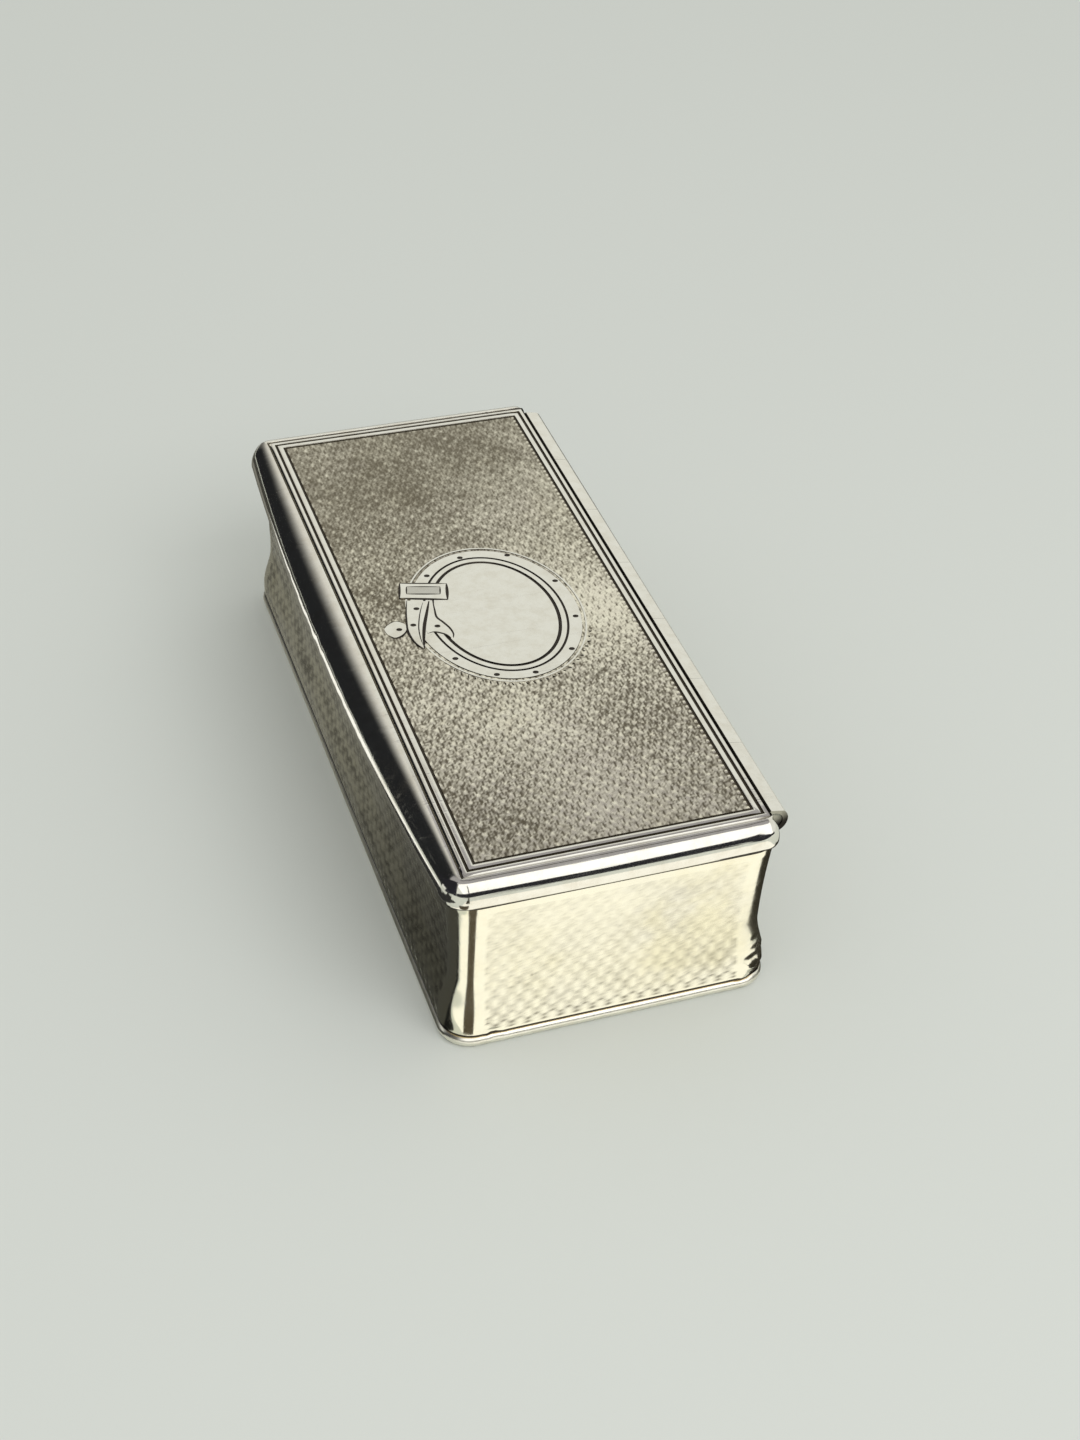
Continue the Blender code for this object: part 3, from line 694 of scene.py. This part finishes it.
# %% Punched eyelets
# Each eyelet is (x, y, level of the surface it is punched in)
eyelets = [
    (-1.0, 12.37, 26.0), (5.13, 11.33, 26.0), (-6.29, 9.65, 26.0), (-9.58, 3.16, 26.035),
    (-10.92, -0.02, 26.035), (-12.86, -0.44, 26.02), (-8.06, -0.98, 26.02), (-7.83, -7.88, 26.0),
    (-3.88, -12.24, 26.0), (0.85, -13.04, 26.0), (6.68, -9.78, 26.0), (9.38, -3.53, 26.0), (9.34, 4.32, 26.0),
]
dots = bmesh.new()
for x, y, level in eyelets:
    low = bmesh.ops.create_circle(dots, cap_ends=True, segments=20, radius=0.30)["verts"]
    bmesh.ops.scale(dots, verts=low, vec=(1.25, 0.9, 1))
    bmesh.ops.rotate(dots, verts=low, cent=(0, 0, 0), matrix=Matrix.Rotation(radians(-14), 3, "Z"))
    bmesh.ops.translate(dots, verts=low, vec=(x, y, level - 0.03))
    face = low[0].link_faces[0]
    if face.normal.z < 0:
        bmesh.ops.reverse_faces(dots, faces=[face])
    up = bmesh.ops.extrude_face_region(dots, geom=[face])["geom"]
    bmesh.ops.translate(dots, verts=only(up, bmesh.types.BMVert), vec=(0, 0, 0.055))
    top_face = only(up, bmesh.types.BMFace)[0]
    bmesh.ops.inset_region(dots, faces=[top_face], thickness=0.07, depth=-0.015)
smooth_all(dots)
finish_piece("garter_eyelets", dots, [line_and_shade_silver], "lid", crease=50)

# %% [markdown]
# ## The lid's mouldings
#
# Three rounded mouldings frame the plate. Each is drawn silver, thicker in the middle of its side
# than at the corners, and mitred at the front. The section of a moulding is a flat, a quarter of
# an ellipse for its nose, and a slight tuck at the seam. The section changes all the way along, so
# no single extrusion gives it. The section is walked along the frame, as the graver's lines were,
# and every copy is moved to its own station. The foot, where the lid meets the body, is painted
# as a dark line: painted shade of the seam.

# %% Section and stations
NEAR_Y = -45.6
FRONT_X = -18.7
HINGE_TURN_X = 17.5
FRONT_WIDTH = 2.5
FRONT_SWELL = 1.6
END_WIDTH = 1.9
END_SWELL = 0.15
END_FLAT = 0.15
CORNER_RADIUS = 3.3
NOSE_DROP = 2.8
NOSE_STEPS = 14
CORNER_STEPS = 16
END_STEPS = 60
FRONT_STEPS = 140


def nose_section(flat, width, start):
    """Points of a moulding's section as (across, height), from its top inner edge to its foot."""
    section = [(0, LID_TOP - 0.12), (0.05, LID_TOP - 0.01)]
    for step in range(NOSE_STEPS + 1):
        turn = step / NOSE_STEPS * pi / 2
        section.append((flat + (width - flat) * sin(turn), LID_TOP - NOSE_DROP * (1 - cos(turn))))
    for share in (0.3, 0.6, 0.8, 1.0):
        height = LID_TOP - NOSE_DROP - share * (LID_TOP - NOSE_DROP - SEAM)
        section.append((width - 0.25 * share**2, height))
    section += [(width - 0.45, SEAM + 0.02), (0, SEAM + 0.02)]
    return [(max(across, start), height) for across, height in section]


def station(inner, outer, flat, start=0.0):
    """The section, set up from an inner point to an outer one. A start cuts off its inner part."""
    inner = Vector(inner)
    across = Vector(outer) - inner
    outwards = across.normalized()
    section = nose_section(flat, across.length, start)
    return [Vector((*(inner + outwards * distance), height)) for distance, height in section]


def swell(share, amount):
    return amount * (1 - (2 * share - 1) ** 2)


def mirrored(rings):
    return [[Vector((p.x, -p.y, p.z)) for p in ring] for ring in rings]


def corner_stations(first, last):
    """Stations round the near front corner, as shares from the near end (0) to the front (1)."""
    centre = Vector((FRONT_X - FRONT_WIDTH + CORNER_RADIUS, NEAR_Y - END_WIDTH + CORNER_RADIUS))
    rings = []
    for step in range(round(first * CORNER_STEPS), round(last * CORNER_STEPS) + 1):
        share = step / CORNER_STEPS
        inner_x = centre.x + (FRONT_X - centre.x) * min(2 * share, 1)
        inner_y = NEAR_Y + (centre.y - NEAR_Y) * max(2 * share - 1, 0)
        angle = (-1 - share) * pi / 2
        outer = centre + CORNER_RADIUS * Vector((cos(angle), sin(angle)))
        rings.append(station((inner_x, inner_y), outer, END_FLAT * (1 - share)))
    return rings


def end_stations():
    """Stations of the near moulding, from its mitre to its turned end beside the hinge."""
    rings = corner_stations(0, 0.5)[::-1]
    start_x = FRONT_X + 0.8
    for step in range(1, END_STEPS):
        share = step / END_STEPS
        x = start_x + (HINGE_TURN_X - start_x) * share
        rings.append(station((x, NEAR_Y), (x, NEAR_Y - END_WIDTH - swell(share, END_SWELL)), END_FLAT))
    for step in range(11):
        angle = (step / 10 - 1) * pi / 2
        turn = Vector((HINGE_TURN_X, NEAR_Y))
        rings.append(station(turn, turn + END_WIDTH * Vector((cos(angle), sin(angle))), END_FLAT))
    for y in (NEAR_Y + 0.3, NEAR_Y + 0.6, NEAR_Y + 1.0):
        rings.append(station((HINGE_TURN_X, y), (HINGE_TURN_X + END_WIDTH, y), END_FLAT, 1.0))
    return rings


def front_stations():
    """Stations of the front moulding, from its near mitre to its far one."""
    rings = corner_stations(0.5, 1)
    start_y = NEAR_Y + 1.4
    for step in range(1, FRONT_STEPS):
        share = step / FRONT_STEPS
        y = start_y - 2 * start_y * share
        rings.append(station((FRONT_X, y), (FRONT_X - FRONT_WIDTH - swell(share, FRONT_SWELL), y), 0.0))
    return rings + mirrored(corner_stations(0.5, 1))[::-1]


# %% Make the three mouldings
UNEVENNESS = 0.02
LID_KNOCK = ((17.2, -47.0, 25.2), 2.4, 0.22)
# Without a seed of its own, noise_vector is different in every run
noise.seed_set(12)


def worn_nose(bm):
    """The slow unevenness of a hand-finished moulding."""
    for vert in bm.verts:
        lift = noise.noise(vert.co * 0.22) * UNEVENNESS + noise.noise(vert.co * 0.9) * UNEVENNESS * 0.35
        vert.co.z += lift * clamp((LID_TOP - vert.co.z) * 2, 0, 1)
        low = clamp((LID_TOP - 1.4 - vert.co.z) * 1.5, 0, 1) * clamp(1.4 - abs(vert.co.y) / 18, 0, 1)
        place = Vector((vert.co.x * 0.5, vert.co.y * 0.8, vert.co.z * 1.3))
        vert.co.x += noise.noise(place) * 0.07 * low


def knock(bm, centre, reach, depth):
    """A crumpled place: the corners near it are pushed in and out by a noise."""
    for vert in bm.verts:
        near = 1 - (vert.co - Vector(centre)).length / reach
        if near > 0:
            vert.co += noise.noise_vector(vert.co * 1.1) * depth * near
            vert.co.z = max(vert.co.z, 0.0)


def make_moulding(name, rings):
    bm = bmesh.new()
    walk(bm, rings)
    worn_nose(bm)
    knock(bm, *LID_KNOCK)
    smooth_all(bm)
    bm.normal_update()
    # The faces of the foot get the dark line material as painted shade of the seam.
    for face in bm.faces:
        if face.calc_center_median().z < SEAM + 0.3 and face.normal.z > -0.9:
            face.material_index = 1
    metals = [polished_silver, line_and_shade_silver]
    finish_piece(name, bm, metals, "lid", ["lid_" + name], crease=40)


make_moulding("front_moulding", front_stations())
make_moulding("near_moulding", end_stations())
make_moulding("far_moulding", mirrored(end_stations()))

# %% [markdown]
# ## The body wall
#
# The four walls are one sheet, bent round the corners and raised to an incurved profile: a
# straight rim, a long hollow and a rolled foot. The outside is engine-turned with grains that are
# rounder than the lid's, between plain margins. The inside is plain and gilt. The ring helper
# makes it in one go, down the outside and up the inside. The rings stand close enough that the
# corners between the grains can be pressed in. The hollows are darker towards the foot, and a few
# knocks have crumpled the wall there. On the long sides the hollows are darker and streakier than
# on the ends, partly tarnish and partly painted shade. The band just under the seam is painted
# dark: painted shade of the seam.

# %% Profile of the wall
def wall_overhang(height):
    if height >= 20.8:
        return 3.2
    if height >= 9.6:
        return 2.65 + 0.55 * ((height - 9.6) / 11.2) ** 2
    roll = min((9.6 - height) / 6.4, 1)
    return 2.65 + 1.1 * (1 - cos(roll * pi)) / 2


WALL_THICKNESS = 1.0
WALL_GRAIN = 2.0
WALL_GRAIN_COLUMNS = 4
WALL_GRAIN_ROWS = 12
WALL_ACROSS = round(2 * HALF_WIDTH / WALL_GRAIN * WALL_GRAIN_COLUMNS)
WALL_ALONG = round(2 * HALF_LENGTH / WALL_GRAIN * WALL_GRAIN_COLUMNS)
WALL_ROWS = 87
ROW_HEIGHT = 0.235
GRAIN_TOP = 20.7
GRAIN_FOOT = 2.35
# The rows are ROW_HEIGHT apart at the top and come closer together towards the foot
fall = (ROW_HEIGHT * WALL_ROWS - (GRAIN_TOP - GRAIN_FOOT)) / WALL_ROWS**2
outer_heights = [WALL_TOP, WALL_TOP - 0.08, 21.7, 21.1, 20.8]
outer_heights += [GRAIN_TOP - (ROW_HEIGHT - fall * step) * step for step in range(WALL_ROWS + 1)]
outer_heights += [2.15, 2.0, WALL_FOOT]
inner_heights = [WALL_FOOT, 3.2, 4.5, 5.8, 7.2, 8.6, 11, 14, 17, 20, 21.6, WALL_TOP]

# %% Raise the wall
wall = bmesh.new()
cut_layer = wall.verts.layers.float.new("cut")
row_layer = wall.verts.layers.int.new("row")
ring = rounded_ring(wall, wall_overhang(WALL_TOP), WALL_TOP, 10, WALL_ACROSS, WALL_ALONG)
for number, height in enumerate(outer_heights[1:], 1):
    verts, ring, faces = extrude_ring(wall, ring)
    set_rounded(verts, wall_overhang(height), height)
    for vert in verts:
        vert[row_layer] = number
    # The rows just under the seam are painted dark as painted shade of the seam. The rows at the foot are the
    # dark joint with the base wire.
    paint(faces, LINES_AND_SHADE if height > 21.3 or height < 1.8 else TURNED)
for height in inner_heights:
    verts, ring, faces = extrude_ring(wall, ring)
    set_rounded(verts, wall_overhang(height) - WALL_THICKNESS, height)
    for vert in verts:
        vert[row_layer] = 0
    paint(faces, GILT)
verts, ring, faces = extrude_ring(wall, ring)
set_rounded(verts, wall_overhang(WALL_TOP), WALL_TOP)
for face in faces:
    face.material_index = TURNED


# %% Cut the grains
def press(vert, depth):
    """Moves a corner of the wall inwards, square to the side that it is on."""
    away = nearest_edge(vert)[1]
    vert.co.x -= away.x * depth
    vert.co.y -= away.y * depth


def round_grains(across, along):
    """The wall's turning: upright ovals, each with a dark crescent above it and below it."""
    turn = 2 * pi * across
    beads = cos(2 * pi * along) * (cos(turn) - 0.45 * cos(3 * turn))
    return beads + 0.15 * cos(4 * pi * along) + 0.15 * cos(2 * turn)


MARGIN = 0.9
for vert in wall.verts:
    number = vert[row_layer]
    height = vert.co.z
    on_end = abs(vert.co.x) < HALF_WIDTH - MARGIN and abs(vert.co.y) > HALF_LENGTH
    on_side = abs(vert.co.y) < HALF_LENGTH - MARGIN and abs(vert.co.x) > HALF_WIDTH
    if not number or not GRAIN_FOOT - 0.01 <= height <= GRAIN_TOP + 0.01 or not (on_end or on_side):
        continue
    if on_end:
        column = round((vert.co.x + HALF_WIDTH) / (2 * HALF_WIDTH) * WALL_ACROSS)
    else:
        column = round((vert.co.y + HALF_LENGTH) / (2 * HALF_LENGTH) * WALL_ALONG)
    chance = chances.uniform(-1, 1)
    lower = 1 - height / GRAIN_TOP
    wave = round_grains(number / WALL_GRAIN_ROWS, column / WALL_GRAIN_COLUMNS)
    press(vert, (0.04 + 0.05 * lower) * (0.5 - 0.45 * wave + 0.15 * chance))
    worn = noise.noise(vert.co * 0.25)
    grain = chances.uniform(0.6, 1.4)
    if on_end:
        depth = 0.22 - (0.09 + 0.30 * lower**2) * wave * grain + 0.08 * chance + 0.12 * worn + 0.12 * lower
        if height < 3.6:
            depth += 0.5 * max(0, -wave - 0.2) * grain
    else:
        # The long sides get darker, streakier cuts than the ends: partly tarnish and partly painted shade.
        streak = noise.noise(Vector((vert.co.x, vert.co.y * 0.12, height * 1.3)))
        depth = 0.38 - 0.34 * wave * grain + 0.14 * chance + 0.45 * streak + 0.25 * worn
    vert[cut_layer] = clamp(depth, 0, 0.95)
    vert.co.z += 0.03 * chances.uniform(-1, 1)
    for face in vert.link_faces:
        face.smooth = False


# %% Knocks at the foot
# Each knock is (centre, reach, depth), and the base rim below gets the same ones
knocks = [((18.4, -45.6, 4.6), 3.4, 0.40), ((17.4, -46.4, 2.2), 3.0, 0.38), ((-14.6, -46.9, 1.9), 2.2, 0.30)]
for centre, reach, depth in knocks:
    knock(wall, centre, reach, depth)
wall_materials = [body_silver, gilding, line_and_shade_silver]
finish_piece("incurved_walls", wall, wall_materials, "body", ["body_wall"], crease=40)

# %% [markdown]
# ## The base
#
# The walls stand on a wire of half-round section that is soldered to their foot. A flat sheet
# inside it closes the box. Both are rings again. The sheet's upper side is the gilt floor of the
# inside, and its underside carries an engraved line.

# %% Base rim
RIM_RADIUS = 0.75
RIM_OVERHANG = 3.2
RIM_INNER = 2.55
rim = bmesh.new()
ring = rounded_ring(rim, RIM_OVERHANG, 0.0, 12, 60, 140)
rows = [(RIM_OVERHANG + RIM_RADIUS * cos(turn), RIM_RADIUS + RIM_RADIUS * sin(turn))
        for turn in [(-0.5 + step / 14) * pi for step in range(1, 15)]]
for overhang, height in rows + [(RIM_INNER, 1.5), (RIM_INNER, 0.0), (RIM_OVERHANG, 0.0)]:
    verts, ring, faces = extrude_ring(rim, ring)
    set_rounded(verts, overhang, height)
smooth_all(rim)
for vert in rim.verts:
    vert.co.z = max(0.0, vert.co.z + noise.noise(vert.co * 0.35) * 0.04)
for centre, reach, depth in knocks:
    knock(rim, centre, reach, depth * 0.6)
finish_piece("base_wire", rim, [rim_silver], "body", ["base_rim"], crease=40)

# %% Base plate
plate = bmesh.new()
cut_layer = plate.verts.layers.float.new("cut")
ring = rounded_ring(plate, 0.4, 0.8, 6, 1, 1)
bmesh.ops.edgeloop_fill(plate, edges=ring)
paint(plate.faces, 1)
# Each row is (overhang, height, cut, place of the material in the list)
rows = [
    (2.35, 0.8, 0, 1), (2.35, 0.05, 0, 0), (2.3, 0.0, 0, 0), (0.05, 0.0, 0, 0), (0.0, 0.12, 1, 0),
    (-0.12, 0.12, 1, 0), (-0.17, 0.0, 0, 0),
]
for overhang, height, depth, material_number in rows:
    verts, ring, faces = extrude_ring(plate, ring)
    set_ring = set_rounded if overhang > 0.3 else set_square
    set_ring(verts, overhang, height)
    for vert in verts:
        vert[cut_layer] = depth
    paint(faces, material_number)
bmesh.ops.edgeloop_fill(plate, edges=ring)
smooth_all(plate)
plate_materials = [polished_silver, gilding]
finish_piece("base_sheet", plate, plate_materials, "body", ["base_plate"], crease=25)

# %% [markdown]
# ## The hinge
#
# A silversmith makes an integral hinge from short lengths of tube, which belong to the body and
# the lid in turn, on a steel pin. It is filed down until it is hardly seen. Each knuckle is a
# section turned once round the axis with spin: a wall from the bore to the outside, with its ends
# slightly eased, so that the joints show as hair lines. The knuckles' faces in the groove beside
# the lid's plate are painted dark as painted shade of the groove. A plug closes each end of the
# barrel. The two ends are dull, and darker towards their foot.

# %% Knuckles and plugs
KNUCKLES = 7
JOINT = 0.03
PITCH = 2 * BARREL_HALF / KNUCKLES
EASE = 0.015
BORE = 0.7
PLUG_BORE = 1.12
PLUG_RADIUS = 1.08
PLUG_LENGTH = 1.0


def turned_on_hinge(bm, profile, sides=72, closed=True):
    """Turns a (radius, y) profile once round the hinge axis."""
    verts = [bm.verts.new((HINGE_X + radius, y, HINGE_Z)) for radius, y in profile]
    edges = [bm.edges.new((verts[i], verts[i + 1])) for i in range(len(verts) - 1)]
    if closed:
        edges.append(bm.edges.new((verts[-1], verts[0])))
    bmesh.ops.spin(
        bm, geom=verts + edges, cent=(HINGE_X, 0, HINGE_Z), axis=(0, 1, 0), dvec=(0, 0, 0),
        angle=2 * pi, steps=sides, use_merge=True, use_duplicate=False,
    )
    smooth_all(bm)


def darken_below(bm, reach):
    """Marks the end of the barrel as lighter at its top and darker towards its foot."""
    dirt = bm.verts.layers.float.new("cut")
    for vert in bm.verts:
        if abs(vert.co.y) > BARREL_HALF - reach:
            vert[dirt] = clamp((HINGE_Z + 0.9 - vert.co.z + 0.5 * (vert.co.x - HINGE_X)) / 1.9, 0, 1)


for index in range(KNUCKLES):
    low = index * PITCH - BARREL_HALF + (JOINT / 2 if index else 0)
    high = (index + 1) * PITCH - BARREL_HALF - (JOINT / 2 if index < KNUCKLES - 1 else 0)
    profile = [(BORE, low), (BARREL_RADIUS - EASE, low), (BARREL_RADIUS, low + EASE)]
    profile += [(BARREL_RADIUS, low + (high - low) * step / 8) for step in range(1, 8)]
    profile += [(BARREL_RADIUS, high - EASE), (BARREL_RADIUS - EASE, high), (BORE, high)]
    if index == 0:
        profile[0:1] = [(BORE, low + 1.1), (PLUG_BORE, low + 1.05), (PLUG_BORE, low)]
    if index == KNUCKLES - 1:
        profile[-1:] = [(PLUG_BORE, high), (PLUG_BORE, high - 1.05), (BORE, high - 1.1)]
    knuckle = bmesh.new()
    turned_on_hinge(knuckle, profile)
    for vert in knuckle.verts:
        beyond = vert.co.x - BARREL_GROOVE
        land = BARREL_LAND - 0.9 * max(0, -beyond) - 0.18 * max(0, beyond)
        vert.co.z = min(vert.co.z, land)
    darken_below(knuckle, 0.01)
    knuckle.normal_update()
    for face in knuckle.faces:
        middle = face.calc_center_median()
        # Faces in the groove beside the lid's plate get the nearly black material as painted shade of the
        # groove. The faces at the joints are dark joints.
        in_groove = middle.x < BARREL_GROOVE and middle.z > HINGE_Z + 1.0
        face.material_index = 1 if abs(face.normal.y) > 0.9 or in_groove else 0
        if abs(middle.y) > BARREL_HALF - 0.01:
            face.material_index = 2
    body = "lid" if index % 2 else "body"
    node = "%s_knuckle_%d" % (body, index // 2 + 1)
    knuckle_materials = [polished_silver, dull_joint_and_shade_silver, barrel_end_silver]
    name = "hinge_knuckle_%d" % (index + 1)
    finish_piece(name, knuckle, knuckle_materials, body, [node], crease=30)
for side, node in ((-1, "hinge_plug_near"), (1, "hinge_plug_far")):
    face = side * (BARREL_HALF - 0.02)
    plug = bmesh.new()
    rounded = [(0.0, 0.0), (0.6, 0.004), (0.98, 0.012), (1.06, 0.05)]
    rounded += [(PLUG_RADIUS, PLUG_LENGTH), (0.0, PLUG_LENGTH)]
    turned_on_hinge(plug, [(radius, face - side * back) for radius, back in rounded], closed=False)
    darken_below(plug, 0.2)
    finish_piece(node + "_cap", plug, [barrel_end_silver], "body", [node], crease=40)

# %% [markdown]
# ## The pieces that keep their CAD shape
#
# The lip inside the mouth, the two bearers and the pin are simple straight pieces, hidden while
# the lid is shut. Their CAD solids are already right, so they only get their finish.

# %% Finish for the inner pieces
for node in ("inner_bezel", "body_hinge_bearer", "lid_hinge_bearer", "hinge_pin"):
    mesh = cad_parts[node].data
    mesh.materials.clear()
    mesh.materials.append(steel if node == "hinge_pin" else gilding)

# %% [markdown]
# ## The studio
#
# Silver shows what stands around it, so the studio is as much a part of the picture as the metal.
# It is plain: a pale floor, a pale even world, one large soft lamp above the front. Photographers
# of silver put black cards, called flags, and pale reflectors beside it to draw its edges, and this
# scene puts cards in their place. The cards are seen only in reflections, and they glow with a
# fixed shade instead of being lit: the pale ones are painted light, and the dark ones that lie on
# the floor beside the box are painted shade of that floor.

# %% Floor and world
def plain_material(name, colour, glow=0.0):
    material = bpy.data.materials.new(name)
    material.use_nodes = True
    shader = material.node_tree.nodes["Principled BSDF"].inputs
    shader["Base Color"].default_value = (0, 0, 0, 1) if glow else (*colour, 1)
    shader["Roughness"].default_value = 0.9
    shader["Specular IOR Level"].default_value = 0.0
    if glow:
        shader["Emission Color"].default_value = (*colour, 1)
        shader["Emission Strength"].default_value = glow
    return material


def facing(place, look_at, axis="Z"):
    """Stands at a place, with one axis turned towards another place."""
    away = Vector(look_at) - Vector(place)
    return Matrix.Translation(place) @ away.to_track_quat(axis, "Y").to_matrix().to_4x4()


def card(name, material, size, matrix, hidden=True):
    bm = bmesh.new()
    bmesh.ops.create_grid(bm, x_segments=1, y_segments=1, size=0.5)
    bmesh.ops.scale(bm, verts=bm.verts, vec=(*size, 1))
    holder = mesh_object(name, bm, [material])
    holder.matrix_world = matrix
    if hidden:
        holder.visible_camera = False
        holder.visible_diffuse = False
        holder.visible_shadow = False
    return holder.data


floor_pale = plain_material("pale_floor", (0.66, 0.68, 0.65))
card("studio_floor", floor_pale, (6, 6), facing((0, 0, 0), (0, 0, 1)), hidden=False)
world = bpy.data.worlds.new("pale_studio")
bpy.context.scene.world = world
world.use_nodes = True
backdrop = world.node_tree.nodes["Background"]
backdrop.inputs["Color"].default_value = (0.82, 0.83, 0.80, 1)
backdrop.inputs["Strength"].default_value = 0.95

# %% Lamp
LAMP_PLACE = (0.16, -0.44, 0.50)
lamp = bpy.data.lights.new("front_softbox", "AREA")
lamp.shape = "RECTANGLE"
lamp.size, lamp.size_y = 0.50, 0.40
lamp.energy = 1.4
softbox = new_object("front_softbox", lamp)
softbox.matrix_world = facing(LAMP_PLACE, (0, 0, 0.01), "-Z")
softbox.visible_camera = False


# %% Flags and reflectors
def reflected(name, shade, size, place, look_at=None, fade_to=None, fade=None, turn=0, taper=1, lower=0):
    """A card that only the silver sees, glowing with its shade as a painted reflection. With nothing to look
    at, it lies on the floor, face up.
    """
    material = plain_material(name, shade, glow=1.0)
    tree = material.node_tree
    if fade_to:
        corner = add_node(tree, "ShaderNodeTexCoord").outputs["Object"]
        across = add_node(tree, "ShaderNodeSeparateXYZ", {"Vector": corner}).outputs["X"]
        share = between(tree, across, (fade[0] - 0.5) * size[0], (fade[1] - 0.5) * size[0])
        glow = tree.nodes["Principled BSDF"].inputs["Emission Color"]
        tree.links.new(mix_colour(tree, share, shade, fade_to), glow)
    lying = Matrix.Translation(place) @ Matrix.Rotation(radians(turn), 4, "Z")
    mesh = card(name, material, size, facing(place, look_at) if look_at else lying)
    for vert in mesh.vertices:
        if vert.co.x > 0:
            vert.co.y *= taper
        elif vert.co.y > 0:
            vert.co.y -= lower


WHITE = (1.25, 1.25, 1.25)
BLACK = (0.02, 0.02, 0.025)
DEEP_BLACK = (0.016, 0.017, 0.019)
CHARCOAL = (0.03, 0.03, 0.03)
# The pale cards are painted light, and the dark cards that lie on the floor are painted shade of the floor.
# Each row is (name, shade, size, place), and then what the card looks at, the shade that it fades
# to, where the fade starts and ends, its turn in degrees, its taper and how much lower its -X end is
cards = [
    ("front_reflector", WHITE, (1.1, 0.66), (0.14, -0.40, 0.404), (0, 0, 0.02)),
    ("overhead_grey", (0.36, 0.35, 0.37), (1.3, 0.80), (0.05, 0.18, 0.60), (0.05, 0.18, -0.4)),
    ("overhead_strip", (0.07, 0.07, 0.06), (0.8, 0.07), (0.16, 0.125, 0.55), (0.16, 0.125, 0)),
    ("left_back_flag", DEEP_BLACK, (0.50, 0.80), (-0.1270, 0.3740, 0.30), (0.108, 0.089, 0.30),
     (0.72, 0.71, 0.68), (0.407, 0.969), 0, 1, 0.40),
    ("left_low_flag", DEEP_BLACK, (0.08, 0.13), (-0.3430, 0.1960, 0.065), (-0.108, -0.089, 0.065)),
    ("front_flag", BLACK, (0.7, 0.066), (0.06, -0.215, 0.034), (0, 0, 0.034)),
    ("back_grey", (0.50, 0.50, 0.49), (0.7, 0.14), (0.25, 0.50, 0.06), (0, 0, 0.06)),
    ("left_floor_flag", (0.052, 0.052, 0.046), (0.20, 0.0265), (-0.033, 0.055, 0.0005), None,
     (0.20, 0.198, 0.175), (0.05, 0.35), 90),
    ("left_floor_reflector", (1.1, 1.1, 1.08), (0.075, 0.068), (-0.086, 0.052, 0.0006)),
    ("black_edge", (0.008, 0.008, 0.008), (0.0265, 0.0025), (-0.033, -0.0452, 0.0008)),
    ("front_floor_reflector", (1.06, 1.04, 0.96), (0.075, 0.06), (0.006, -0.078, 0.0005)),
    ("corner_flag", (0.08, 0.065, 0.045), (0.030, 0.021), (-0.0221, -0.0621, 0.0010),
     None, None, None, 71, 0.09),
    ("right_flag", (0.030, 0.027, 0.020), (0.028, 0.030), (0.0345, -0.0375, 0.0008)),
    ("back_floor_flag", (0.13, 0.13, 0.11), (0.16, 0.09), (0.05, 0.105, 0.0006)),
    ("left_front_flag", (0.02, 0.02, 0.028), (0.36, 0.70), (-0.345, -0.135, 0.28), (0, 0, 0.28)),
    ("left_front_floor_flag", CHARCOAL, (0.30, 0.030), (-0.20, -0.062, 0.0007)),
    ("near_left_floor_flag", CHARCOAL, (0.075, 0.064), (-0.084, -0.015, 0.0007)),
    ("corner_card", BLACK, (0.030, 0.046), (-0.0525, -0.033, 0.052), (-0.020, -0.046, 0.052)),
    ("far_left_floor_flag", (0.05, 0.05, 0.045), (0.11, 0.12), (-0.101, 0.145, 0.0007)),
    ("corner_gap", BLACK, (0.022, 0.60), (-0.020, -0.34, 0.35), (-0.02, 0, 0.35)),
    ("corner_floor_gap", (0.04, 0.035, 0.025), (0.012, 0.20), (-0.021, -0.19, 0.0012)),
]
for row in cards:
    reflected(*row)

# %% [markdown]
# ## The camera
#
# The camera stands where the photographer's did, above and to the left of the near end. Its place
# was worked out from the four corners of the lid's panel. The rows below are its right, up and
# backward directions.

# %% Camera
camera = bpy.data.cameras.new("camera")
camera.sensor_fit = "VERTICAL"
camera.sensor_height = 36.0
camera.lens = 56.66
camera.clip_start = 0.01
eye = new_object("camera", camera)
axes = Matrix(((0.9460, -0.3209, 0.0458), (0.1703, 0.6123, 0.7721), (-0.2758, -0.7226, 0.6339)))
turn = axes.transposed().to_quaternion().to_matrix().to_4x4()
eye.matrix_world = Matrix.Translation((-0.07517, -0.21694, 0.19707)) @ turn
bpy.context.scene.camera = eye
bpy.context.scene.view_settings.view_transform = "Standard"
